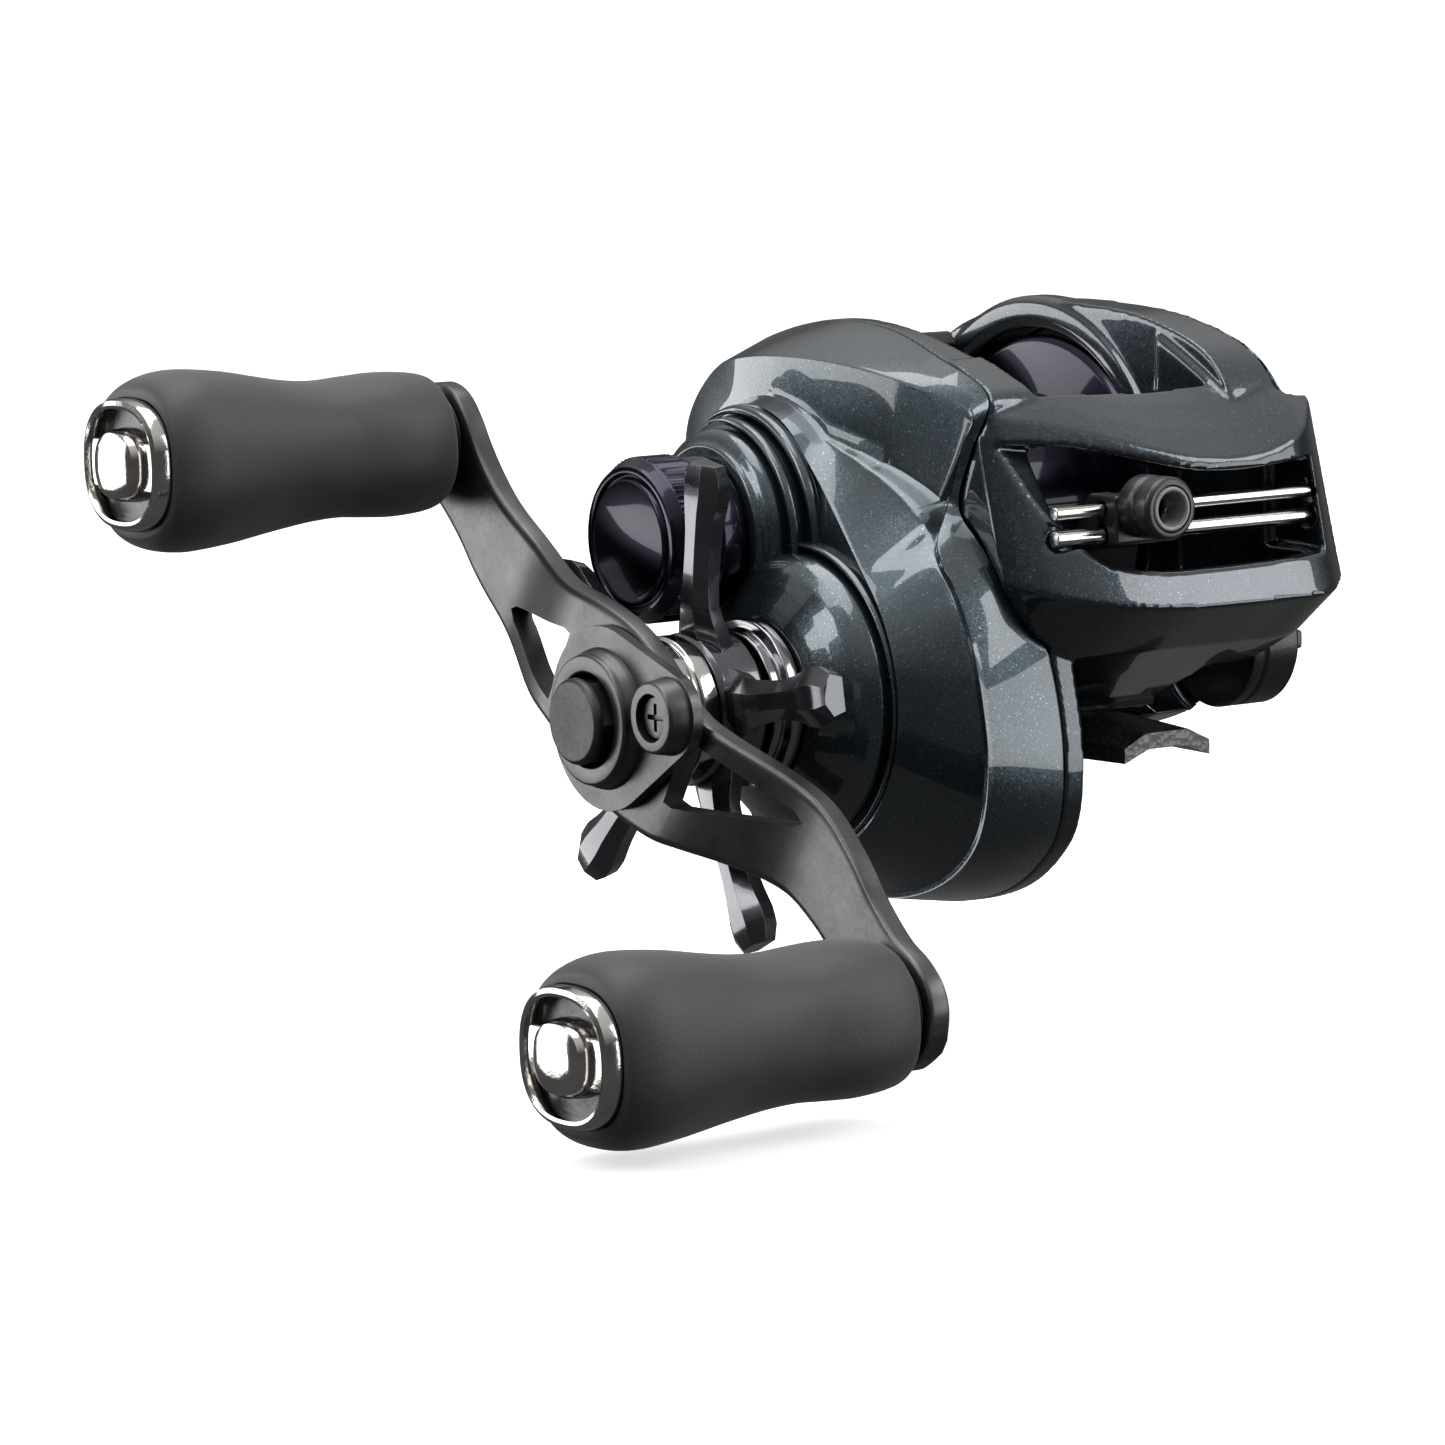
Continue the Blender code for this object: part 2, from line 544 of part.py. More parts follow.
# ---- foot ------------------------------------------------------------------------------
def foot_section(y):
    """Cross-section of the foot at y: a saddle underside with a flat middle, (x, z) points."""
    reach = abs(y) / (FOOT_LENGTH / 2)
    half = FOOT_WIDTH / 2 + 1.4 * (1 - reach ** 2)
    droop = 1.1
    top = 1.55 if abs(y) < 18.0 else FOOT_THICK - 0.9 * reach ** 2
    return [(-half, y, -droop), (-2.2, y, 0.0), (2.2, y, 0.0), (half, y, -droop),
            (half, y, top - 1.2), (0.5 * half, y, top), (-0.5 * half, y, top),
            (-half, y, top - 1.2)]


def reel_foot():
    """Saddle foot that a rod's reel seat clamps at its two ends."""
    half = FOOT_LENGTH / 2
    stations = [-half, -half + 4, -22.0, -17.5, -8.0, 8.0, 17.5, 22.0, half - 4, half]
    foot = add("foot", bridge([foot_section(y) for y in stations]), None)
    for y in FOOT_SCREWS:
        hole = lathe([(-3.0, 0.0), (-3.0, 1.9), (0.9, 1.9), (0.9, 1.1), (5.0, 1.1), (5.0, 0.0)], 16)
        cut(foot, add("hole", upright(hole), None, at=(0, y, 0)))
    return finish(simplify(foot), "reel_foot", BLACK)


def foot_screw(name, y):
    screw = lathe([(0.1, 0.0), (0.1, 1.6), (0.6, 1.6), (0.6, 0.8), (2.9, 0.8), (2.9, 0.0)], 16)
    return add(name, upright(screw), STEEL, at=(0, y, 0))


reel_foot()
foot_screw("foot_screw_front", FOOT_SCREWS[0])
foot_screw("foot_screw_rear", FOOT_SCREWS[1])
for number, (y, z, end) in enumerate(COVER_SCREWS, 1):
    add(f"cover_screw_{number}", lathe([(0.8 - end, 0.0), (0.8 - end, 0.65), (-12.6, 0.65),
                                        (-12.6, 1.05), (-11.9, 1.05), (-11.9, 0.0)], 12),
        STEEL, at=(0, y, z))


# ---- spool group -----------------------------------------------------------------------
def spool():
    flange = [(9.0, 10.6), (10.2, FLANGE_R), (SPOOL_HALF, FLANGE_R), (SPOOL_HALF, 13.2),
              (10.2, 9.6), (6.4, 9.0), (6.4, 4.0), (8.6, 3.4), (8.6, 1.5)]
    left = [(-x, r) for x, r in reversed(flange)]
    return add("spool", lathe(left + flange, 32), NAVY, parent=spool_axis)


def spool_shaft():
    shaft = disc(-35.3, 18.6, 1.2, 16)
    return add("spool_shaft", shaft, STEEL, parent=spool_axis)


def bearing(name, x0, x1, inner, outer, parent=None, at=(0, 0, 0)):
    """Shielded ball bearing as one ring, its shield a shallow groove in each face."""
    third = (outer - inner) / 3
    profile = [(x0, inner), (x0, inner + third), (x0 + 0.3, outer - third), (x0, outer),
               (x1, outer), (x1 - 0.3, outer - third), (x1, inner + third), (x1, inner)]
    return add(name, lathe(profile, 20), STEEL, parent=parent, at=at)


def spool_group():
    spool()
    shaft = spool_shaft()
    cut(shaft, add("cross_hole", upright(disc(-3.0, 3.0, 0.6, 12)), None,
                   at=(PIN_X, SPOOL_Y, SPOOL_Z)))
    finish(shaft, "spool_shaft", STEEL)
    add("spool_pin", upright(disc(-2.4, 2.4, 0.4, 10)), STEEL, parent=spool_axis, at=(PIN_X, 0, 0))
    bearing("spool_bearing_handle", -28.4, -25.9, 1.5, 4.2, at=SPOOL_AXIS)
    bearing("spool_bearing_palm", 16.4, 18.8, 1.5, 4.2, at=SPOOL_AXIS)


def pinion_gear():
    """Pinion that slides along the spool shaft: yoke neck outside, slot for the pin inside."""
    tooth_at = mesh_angle(DRIVE_AXIS, SPOOL_AXIS) + pi + pi / PINION_TEETH
    teeth = gear(gear_outline(MAIN_MODULE, PINION_TEETH, tooth_at), -20.9, -16.9, 1.6, 16)
    pinion = add("pinion", teeth, None, parent=spool_axis)
    core = add("core", lathe([(-23.9, 1.5), (-23.9, 3.0), (-22.5, 3.0), (-22.5, 2.0), (-20.8, 2.0),
                              (-20.8, 1.72), (-17.0, 1.72), (-17.0, 1.95), (-16.1, 1.95),
                              (-16.1, 3.4), (-14.6, 3.4), (-14.6, 1.5)], 18), None,
               parent=spool_axis)
    join(pinion, core)
    cut(pinion, add("slot", block(-15.8, -14.0, -0.8, 0.8, -5.0, 5.0), None, at=SPOOL_AXIS))
    return finish(simplify(pinion), "pinion_gear", BRASS)


def clutch_yoke():
    """Forked plate in the pinion's neck, guided on two pins."""
    outline = [(-7.4, 1.2), (-7.4, 5.0), (-4.5, 6.0), (4.5, 6.0), (7.4, 5.0), (7.4, 1.2),
               (4.4, -2.4), (2.35, -2.4), (2.35, 1.0), (1.6, 2.4), (-1.6, 2.4), (-2.35, 1.0),
               (-2.35, -2.4), (-4.4, -2.4)]
    yoke = add("yoke", prism(outline, -22.3, -21.5), None, at=SPOOL_AXIS)
    for y in (-YOKE_PIN_Y, YOKE_PIN_Y):
        cut(yoke, add("hole", disc(-24, -20, 0.8, 12), None, at=yoke_pin_place(y)))
    return finish(yoke, "clutch_yoke", STEEL)


def clutch_cam():
    """Ring with two ramps that lift the yoke when the thumb bar turns it."""
    cam = add("cam", ring(-15.5, -14.9, 4.4, 6.2, 24), None, parent=spool_axis)
    for side in (-1, 1):
        ramp = prism([(side * 4.6, -1.6), (side * 5.9, -1.6), (side * 5.9, 1.6),
                      (side * 4.6, 1.6)], -16.2, -15.2)
        join(cam, add("ramp", ramp, None, parent=spool_axis))
    return finish(cam, "clutch_cam", STEEL)


def cast_control():
    add("cast_control_cap", lathe([(-36.2, 0.0), (-36.2, 6.2), (-30.1, 6.2), (-30.1, 7.7),
                                   (-37.2, 7.7), (-38.0, 7.0), (-38.1, 5.9), (-38.4, 5.4),
                                   (-38.4, 0.0)], 32), NAVY, at=SPOOL_AXIS)
    add("cast_control_spacer", disc(-35.95, -35.6, 4.0, 16), BRASS, at=SPOOL_AXIS)


def brakes():
    """Centrifugal brake: a four-armed hub on the spool shaft, sliding weights and a fixed drum."""
    hub = add("hub", ring(11.4, 14.0, 1.5, 3.6, 24), None, parent=spool_axis)
    for number in range(4):
        turn = Matrix.Rotation(radians(45 + 90 * number), 3, "X")
        arm = upright(disc(3.0, 7.4, 0.5, 10))
        weight = upright(ring(5.0, 7.0, 0.8, 1.45, 14))
        for piece in (arm, weight):
            bmesh.ops.rotate(piece, matrix=turn, verts=piece.verts)
        join(hub, add("arm", arm, None, parent=spool_axis, at=(12.7, 0, 0)))
        add(f"brake_weight_{number + 1}", weight, BLACK, parent=spool_axis, at=(12.7, 0, 0))
    finish(simplify(hub), "brake_hub", DARK_METAL)
    add("brake_ring", lathe([(11.9, 9.2), (11.9, 10.2), (18.6, 10.2), (18.6, 7.0), (18.0, 7.0),
                             (18.0, 9.2)], 24), STEEL, at=SPOOL_AXIS)


def dials():
    add("brake_dial", lathe([(22.2, 0.0), (22.2, 7.0), (23.3, 7.0), (24.0, 6.2), (24.0, 0.0)], 36),
        DARK_METAL, at=SPOOL_AXIS)
    dial = add("dial", lathe([(14.8, 0.0), (14.8, DIAL_R), (20.0, DIAL_R), (20.6, DIAL_R - 0.6),
                              (20.6, 0.0)], 32), None, at=(0, DIAL_Y, DIAL_Z))
    grip = add("grip", block(20.3, 21.8, -5.0, 5.0, -0.9, 0.9), None, at=(0, DIAL_Y, DIAL_Z))
    finish(join(dial, grip), "release_dial", BLACK)
    outline = [(14.9, 33.0), (13.6, 34.4), (14.8, 35.9), (19.6, 33.8), (22.4, 30.2), (21.8, 29.45)]
    add("thumb_bar", prism(outline, -11.2, 9.0), BLACK)


spool_group()
pinion_gear()
clutch_yoke()
clutch_cam()
cast_control()
brakes()
dials()


# ---- drive group -----------------------------------------------------------------------
def small_gear(name, teeth, tooth_at, bore, parent=None, at=(0, 0, 0)):
    outline = gear_outline(SMALL_MODULE, teeth, tooth_at)
    return add(name, gear(outline, *WIND_GEAR_X, bore, 18), BRASS, parent=parent, at=at)


def gear_train():
    """Drive gear on the handle shaft, and the small train that turns the worm."""
    phase = mesh_angle(DRIVE_AXIS, SPOOL_AXIS)
    drive = add("drive", gear(gear_outline(MAIN_MODULE, DRIVE_TEETH, phase), *MAIN_GEAR_X, 2.9, 28),
                None, parent=drive_axis)
    cut(drive, add("recess", ring(-22.0, -19.0, 4.2, 11.6, 28), None, parent=drive_axis))
    finish(simplify(drive), "drive_gear", BRASS)
    first = mesh_angle(DRIVE_AXIS, IDLER_AXIS)
    second = mesh_angle(IDLER_AXIS, WORM_AXIS)
    idler_phase = first + pi + pi / IDLER_TEETH
    pitch = 2 * pi / IDLER_TEETH
    offset = ((second - idler_phase + pitch / 2) % pitch) - pitch / 2
    worm_phase = second + pi + pi / WORM_TEETH + offset * IDLER_TEETH / WORM_TEETH
    small_gear("wind_gear", WIND_TEETH, first, 2.3, parent=drive_axis)
    small_gear("idler_gear", IDLER_TEETH, idler_phase, 1.9, at=IDLER_AXIS)
    small_gear("worm_gear", WORM_TEETH, worm_phase, 1.3, parent=worm_axis)


def drive_stack():
    """Everything threaded on the handle shaft, from the frame bearing out to the handle."""
    add("drive_shaft", lathe([(-12.0, 0.0), (-12.0, 1.7), (-13.9, 1.7), (-13.9, 2.0), (-16.5, 2.0),
                              (-16.5, 4.5), (-17.1, 4.5), (-17.1, 2.6), (-51.8, 2.6),
                              (-51.8, 0.0)], 20), STEEL, parent=drive_axis)
    bearing("drive_shaft_bearing", -13.5, -11.9, 2.0, 4.2, at=DRIVE_AXIS)
    add("drag_washer", ring(-19.9, -19.3, 4.5, 11.3, 28), CARBON, parent=drive_axis)
    add("pressure_washer", ring(-20.8, -20.2, 4.5, 11.0, 28), STEEL, parent=drive_axis)
    bearing("anti_reverse_bearing", -31.4, -26.2, 3.9, 5.5, at=DRIVE_AXIS)
    add("anti_reverse_sleeve", ring(-35.7, -22.2, 2.9, 3.6, 20), STEEL, parent=drive_axis)
    add("star_spacer", lathe([(-35.2, 4.0), (-35.2, 6.8), (-34.0, 6.8), (-34.0, 7.8),
                              (-32.7, 7.8), (-32.7, 4.9), (-34.7, 4.9), (-34.7, 4.0)], 20),
        NICKEL, at=DRIVE_AXIS)
    add("drag_spring_washer", ring(-37.1, -36.2, 2.9, 4.4, 20), STEEL, parent=drive_axis)
    nut = gear([(4.4 * cos(pi * k / 3), 4.4 * sin(pi * k / 3)) for k in range(6)],
               -40.6, -37.7, 2.9, 18)
    add("drag_nut", nut, BRASS, parent=drive_axis)
    add("handle_spacer", ring(-45.4, -41.3, 3.0, 6.9, 28), NICKEL, parent=drive_axis)


def star_drag():
    """Five faceted arms on a hub that turns the drag nut."""
    star = add("star", ring(-40.9, -35.9, 4.8, 7.0, 30), None, parent=drive_axis)
    spans = [(5.6, 3.2, -40.4, -37.2), (10.0, 2.7, -41.2, -38.75), (16.5, 2.4, -41.3, -38.75),
             (20.0, 3.5, -41.5, -38.75), (STAR_TIP_R, 2.4, -41.3, -39.0)]
    arms = []
    for number in range(5):
        angle = radians(STAR_FIRST + 72 * number)
        rings = []
        for radius, half, outer, inner in spans:
            section = [(outer, -0.35 * half), (outer, 0.35 * half), (0.6 * outer + 0.4 * inner, half),
                       (inner, 0.8 * half), (inner, -0.8 * half), (0.6 * outer + 0.4 * inner, -half)]
            rings.append([(x, -radius * cos(angle) - t * sin(angle),
                           radius * sin(angle) - t * cos(angle)) for x, t in section])
        arms.append(add("arm", bridge(rings), None, parent=drive_axis))
    join(star, *arms)
    return finish(simplify(star), "star_drag", DARK_METAL)


# ---- handle ----------------------------------------------------------------------------
def along_arm(s, t):
    """(y, z) about the drive axis of a point s along the handle and t across it."""
    slope = radians(HANDLE_ANGLE)
    return s * cos(slope) - t * sin(slope), s * sin(slope) + t * cos(slope)


def arm_out(s):
    """Outer face of the S-bent arm at distance s from the hub."""
    share = min(1.0, max(0.0, (abs(s) - 9.0) / 17.0))
    return HUB_OUT + (ARM_END_OUT - HUB_OUT) * share * share * (3 - 2 * share)


# s along the arm, the middle line's offset across it, half width
ARM = [(0.0, 0.0, 8.6), (4.0, 0.0, 8.2), (9.0, -0.4, 7.2), (13.0, -1.4, 6.5), (17.0, -2.4, 5.9),
       (21.0, -3.2, 5.4), (25.0, -3.5, 5.0), (30.0, -3.0, 4.6), (34.0, -1.9, 4.4), (37.0, -1.0, 4.6),
       (39.4, -0.3, 5.0), (42.0, 0.0, 5.4), (44.4, 0.0, 4.84), (46.2, 0.0, 3.4), (47.3, 0.0, 1.0)]
ARM_WINDOW = [(9.6, -5.4), (9.8, 2.0), (11.0, 1.8), (22.6, -5.0), (23.4, -5.9), (22.2, -6.4)]


def handle_arm():
    """Swept, S-bent double arm with a three-sided window each side of the hub."""
    stations = [(-s, -t, half) for s, t, half in reversed(ARM[1:])] + ARM
    rings = []
    for s, t, half in stations:
        outer, inner = -arm_out(s), -arm_out(s) + ARM_THICK
        section = [(outer, -half + 0.5), (outer, half - 0.5), (outer + 0.5, half),
                   (inner, half), (inner, -half), (outer + 0.5, -half)]
        rings.append([(x, *along_arm(s, t + across)) for x, across in section])
    arm = add("arm", bridge(rings), None, parent=drive_axis)
    cut(arm, add("hub_hole", disc(-52, -40, 3.0, 20), None, parent=drive_axis))
    for sign in (-1, 1):
        outline = [along_arm(sign * s, sign * t) for s, t in ARM_WINDOW]
        cut(arm, add("window", prism(outline, -52, -38), None, parent=drive_axis))
        y, z = along_arm(sign * HANDLE_R, 0)
        cut(arm, add("knob_hole", disc(-52, -38, 2.3, 16), None, parent=drive_axis, at=(0, y, z)))
    cut(arm, add("screw_hole", disc(-52, -40, 0.95, 10), None, parent=drive_axis,
                 at=(0, *RETAINER_SCREW)))
    return finish(simplify(arm), "handle_arm", DARK_METAL)


def hull_outline(first, second, steps=28):
    """Outline round two circles (y, z, radius)."""
    points = [Vector(p) for y, z, r in (first, second) for p in circle(y, z, r, steps)]
    hull = geometry.convex_hull_2d(points)
    return [tuple(points[i]) for i in hull]


def nut_retainer():
    """Cover plate over the handle nut, with a stepped boss and a boss for its screw."""
    y, z = RETAINER_SCREW
    plate_ = add("plate", prism(hull_outline((0, 0, 8.4), (y, z, 3.9)), -49.4, -48.3), None,
                 parent=drive_axis)
    boss = add("boss", disc(-51.2, -48.9, 6.0, 28), None, parent=drive_axis)
    lug = add("lug", disc(-51.4, -48.8, 3.4, 20), None, parent=drive_axis, at=(0, y, z))
    join(plate_, boss, lug)
    cut(plate_, add("nut_hole", disc(-54, -45, 4.4, 24), None, parent=drive_axis))
    cut(plate_, add("head_hole", lathe([(-54, 0.0), (-54, 2.2), (-49.7, 2.2), (-49.7, 0.95),
                                        (-45, 0.95), (-45, 0.0)], 16), None, parent=drive_axis,
                    at=(0, y, z)))
    return finish(simplify(plate_), "nut_retainer", DARK_METAL)


def handle_nut():
    """Hexagonal nut on the end of the shaft, with a flat round cap."""
    nut = gear([(4.05 * cos(pi * k / 3), 4.05 * sin(pi * k / 3)) for k in range(6)],
               -52.0, -48.3, 2.9, 18)
    body = add("nut", nut, None, parent=drive_axis)
    join(body, add("cap", disc(-52.8, -51.95, 3.75, 28), None, parent=drive_axis))
    return finish(simplify(body), "handle_nut", DARK_METAL)


KNOB = [(-44.6, 5.0, 5.0), (-46.4, 6.8, 6.6), (-49.9, 7.4, 6.9), (-56.4, 7.0, 6.4),
        (-63.4, 7.4, 7.0), (-71.4, 8.7, 8.3), (-74.8, 8.5, 8.0), (-76.6, 7.7, 6.9)]


def oval(x, half_y, half_z, steps=20):
    """Superellipse section of a knob."""
    points = []
    for k in range(steps):
        c, s = cos(2 * pi * k / steps), sin(2 * pi * k / steps)
        points.append((x, half_y * abs(c) ** 0.8 * (1 if c > 0 else -1),
                       half_z * abs(s) ** 0.8 * (1 if s > 0 else -1)))
    return points


def knob_set(name, sign):
    """Riveted shaft, soft knob and bright end cap at one end of the handle."""
    y, z = along_arm(sign * HANDLE_R, 0)
    axis = empty(f"{name}_axis", (0, y, z))
    axis.parent = drive_axis
    add(f"knob_shaft_{name}", lathe([(-40.6, 0.0), (-40.6, 3.0), (-41.2, 3.0), (-41.2, 2.0),
                                     (-44.0, 2.0), (-44.0, 3.4), (-44.3, 3.4), (-44.3, 2.2),
                                     (-74.6, 2.2), (-74.6, 0.0)], 16), STEEL, parent=drive_axis,
        at=(0, y, z))
    knob = add("knob", bridge([oval(*station) for station in KNOB]), None, parent=axis)
    cut(knob, add("bore", disc(-75.4, -40.0, 2.6, 16), None, parent=axis))
    finish(simplify(knob), f"knob_{name}", RUBBER)
    cap = bridge([oval(-76.9, 7.7, 6.8), oval(-78.4, 7.4, 6.2), oval(-KNOB_END, 6.4, 5.2)])
    add(f"knob_cap_{name}", cap, NICKEL, parent=axis)


RETAINER_SCREW = (-10.4, 1.2)
gear_train()
drive_stack()
star_drag()
handle_arm()
nut_retainer()
handle_nut()
add("retainer_screw", lathe([(-50.8, 0.0), (-50.8, 1.9), (-50.0, 1.9), (-50.0, 0.7), (-46.3, 0.7),
                             (-46.3, 0.0)], 16), STEEL, parent=drive_axis, at=(0, *RETAINER_SCREW))
knob_set("upper", 1)
knob_set("lower", -1)


# ---- level wind ------------------------------------------------------------------------
def worm_shaft():
    """Worm shaft: grooved middle between two journals."""
    groove = []
    for k in range(4):
        x = -9.0 + 6.0 * k
        groove += [(x - 1.2, 2.5), (x, 2.0), (x + 1.2, 2.5)]
    profile = [(-16.8, 0.0), (-16.8, 1.0), (-14.9, 1.0), (-14.9, 1.3), (-11.2, 1.3), (-11.2, 2.5)]
    profile += groove + [(11.2, 2.5), (11.2, 1.3), (13.0, 1.3), (13.0, 0.0)]
    return add("worm_shaft", lathe(profile, 12), STEEL, parent=worm_axis)


def lengthwise(bm):
    """Turn a piece made along X so that it runs along Y."""
    bmesh.ops.rotate(bm, matrix=Matrix.Rotation(radians(90), 3, "Z"), verts=bm.verts)
    return bm


def line_guide():
    """Carriage that rides the worm and the two rods, and the eye the line runs through."""
    outline = [(-33.7, 19.7), (-29.6, 19.2), (-28.6, 15.4), (-20.4, 15.4), (-20.4, 18.2),
               (-26.8, 18.9), (-29.6, 24.2), (-33.7, 24.2)]
    guide = add("guide", prism(outline, *GUIDE_X), None)
    join(guide, add("eye", lengthwise(disc(-38.0, -33.65, 2.9, 24)), None, at=(GUIDE_MID, 0, EYE_Z)))
    run = disc(-2.0, 12.0, 1.35, 20)
    bmesh.ops.rotate(lengthwise(run), matrix=Matrix.Rotation(radians(25), 3, "X"), verts=run.verts)
    cutters = [(lengthwise(disc(-42.0, -34.4, 2.3, 20)), (GUIDE_MID, 0, EYE_Z)),
               (run, (GUIDE_MID, -34.6, EYE_Z)),
               (disc(-20.0, 20.0, 0.85, 16), (0, ROD_Y, ROD_HIGH_Z)),
               (disc(-20.0, 20.0, 1.0, 16), (0, ROD_Y, ROD_LOW_Z)),
               (upright(disc(10.0, 30.0, 1.3, 16)), (GUIDE_MID, WORM_Y, 0))]
    for cutter, place in cutters:
        cut(guide, add("cutter", cutter, None, at=place))
    finish(simplify(guide), "line_guide", BLACK)
    ring_profile = [(-37.8, 1.6), (-37.8, 2.0), (-34.7, 2.0), (-34.7, 1.6), (-35.6, 1.3),
                    (-36.9, 1.3)]
    add("guide_insert", lengthwise(lathe(ring_profile, 16)), CERAMIC, at=(GUIDE_MID, 0, EYE_Z))
    add("pawl", upright(lathe([(14.4, 0.0), (14.4, 0.5), (15.0, 1.0), (18.0, 1.0), (18.0, 0.0)], 14)),
        STEEL, at=(GUIDE_MID, WORM_Y, 0))
    add("pawl_cap", upright(disc(18.9, 19.7, 1.9, 20)), STEEL, at=(GUIDE_MID, WORM_Y, 0))


GUIDE_X = (-9.4, -3.4)
GUIDE_MID = sum(GUIDE_X) / 2
EYE_Z = 23.1
worm_shaft()
line_guide()
add("guide_rod_upper", disc(-14.9, 14.9, 0.6, 12), STEEL, at=(0, ROD_Y, ROD_HIGH_Z))
add("guide_rod_lower", disc(-14.9, 14.9, 0.72, 12), STEEL, at=(0, ROD_Y, ROD_LOW_Z))
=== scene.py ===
"""Looks of a low-profile baitcasting reel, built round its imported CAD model.

Row frame: origin at the centre of the foot's underside, +Z up, +Y to the rear, -X the handle
side.  Shapes are worked out in millimetres and become metres when a piece is finished.
"""
from math import atan2, cos, hypot, pi, radians, sin

import bmesh
import bpy
from mathutils import Matrix, Vector, geometry


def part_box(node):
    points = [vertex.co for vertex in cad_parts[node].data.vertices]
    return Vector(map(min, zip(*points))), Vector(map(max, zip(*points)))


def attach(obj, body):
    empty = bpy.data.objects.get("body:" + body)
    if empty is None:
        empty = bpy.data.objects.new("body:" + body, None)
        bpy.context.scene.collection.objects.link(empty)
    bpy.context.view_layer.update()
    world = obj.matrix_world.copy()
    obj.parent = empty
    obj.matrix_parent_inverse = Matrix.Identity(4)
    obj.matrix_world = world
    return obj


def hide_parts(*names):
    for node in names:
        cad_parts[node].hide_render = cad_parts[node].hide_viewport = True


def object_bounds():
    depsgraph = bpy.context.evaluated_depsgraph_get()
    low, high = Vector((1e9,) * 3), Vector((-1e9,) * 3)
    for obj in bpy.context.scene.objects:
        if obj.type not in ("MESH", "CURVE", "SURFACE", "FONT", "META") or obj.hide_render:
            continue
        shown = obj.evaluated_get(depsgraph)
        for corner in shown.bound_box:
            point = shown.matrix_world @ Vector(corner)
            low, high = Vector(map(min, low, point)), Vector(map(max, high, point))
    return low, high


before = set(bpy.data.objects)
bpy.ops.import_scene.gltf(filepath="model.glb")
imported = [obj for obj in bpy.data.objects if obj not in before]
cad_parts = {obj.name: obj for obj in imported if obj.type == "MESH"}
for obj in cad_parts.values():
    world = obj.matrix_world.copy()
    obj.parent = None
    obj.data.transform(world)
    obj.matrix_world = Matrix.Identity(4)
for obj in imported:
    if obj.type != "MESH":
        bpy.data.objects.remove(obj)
CAD_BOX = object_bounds()
MM = 0.001


# ---- places read from the frame ----
def low(node):
    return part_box(node)[0] / MM


def high(node):
    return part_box(node)[1] / MM


def centre(node):
    return (low(node) + high(node)) / 2


def axis_of(node):
    """(y, z) of the line along X through a node's middle."""
    return centre(node).yz.to_tuple()


SPOOL = axis_of("spool")
DRIVE = axis_of("handle_spacer")
KNOBS = {name: axis_of(f"knob_shaft_{name}") for name in ("upper", "lower")}
SCREW = axis_of("retainer_screw")
DIAL = (-17.6, 7.6)                 # axis of the release dial
RODS = {"guide_rod_upper": 0.6, "guide_rod_lower": 0.72}        # radius of each
FOOT_SCREWS = ("foot_screw_front", "foot_screw_rear")
SLOPE = atan2(KNOBS["upper"][1] - DRIVE[1], KNOBS["upper"][0] - DRIVE[0])
ARM_REACH = hypot(KNOBS["upper"][1] - DRIVE[1], KNOBS["upper"][0] - DRIVE[0])
VOXEL = 0.25                        # grain of the remeshed body shells
HUB = (-6.0, 20.0)                  # every side outline is seen whole from here


# ---- mesh helpers ----
def add(name, data):
    """A new object in the scene."""
    ob = bpy.data.objects.new(name, data)
    bpy.context.scene.collection.objects.link(ob)
    return ob


def raw(bm, at=(0.0, 0.0)):
    """A bmesh in millimetres as a scratch object, moved to an axis (y, z)."""
    bmesh.ops.translate(bm, vec=(0.0, at[0], at[1]), verts=bm.verts)
    bmesh.ops.remove_doubles(bm, verts=bm.verts, dist=1e-4)
    bmesh.ops.recalc_face_normals(bm, faces=bm.faces)
    if bm.calc_volume(signed=True) < 0:
        bmesh.ops.reverse_faces(bm, faces=bm.faces)
    mesh = bpy.data.meshes.new("scratch")
    bm.to_mesh(mesh)
    bm.free()
    return add("scratch", mesh)


def settle(ob):
    """Apply an object's modifiers to its mesh."""
    bpy.context.view_layer.update()
    graph = bpy.context.evaluated_depsgraph_get()
    mesh = bpy.data.meshes.new_from_object(ob.evaluated_get(graph), depsgraph=graph)
    ob.modifiers.clear()
    ob.data = mesh
    return ob


def combine(ob, operation, tools):
    """Join tool objects to ob, or cut them out of it, one after the other."""
    for tool in tools:
        change = ob.modifiers.new("change", "BOOLEAN")
        change.operation = operation
        change.solver = "MANIFOLD"
        change.object = tool
        settle(ob)
        bpy.data.objects.remove(tool, do_unlink=True)
    return ob


def cut(ob, *tools):
    return combine(ob, "DIFFERENCE", tools)


def join(ob, *tools):
    return combine(ob, "UNION", tools)


def soften(ob, rounds=5):
    """Remesh a body evenly and round its edges a little, as cast and painted edges are."""
    remesh = ob.modifiers.new("remesh", "REMESH")
    remesh.mode = "VOXEL"
    remesh.voxel_size = VOXEL
    relax = ob.modifiers.new("relax", "SMOOTH")
    relax.factor = 0.5
    relax.iterations = rounds
    return settle(ob)


def bevelled(ob, width, segments=2, angle=32):
    change = ob.modifiers.new("bevel", "BEVEL")
    change.width = width
    change.segments = segments
    change.limit_method = "ANGLE"
    change.angle_limit = radians(angle)
    change.use_clamp_overlap = True
    return settle(ob)


def flat_faced(ob, sharp=38):
    """Let large faces keep their own direction, so that only the narrow bevels look round."""
    ob.data.shade_smooth()
    ob.data.set_sharp_from_angle(angle=radians(sharp))
    change = ob.modifiers.new("weights", "WEIGHTED_NORMAL")
    change.keep_sharp = True
    change.weight = 90
    return settle(ob)


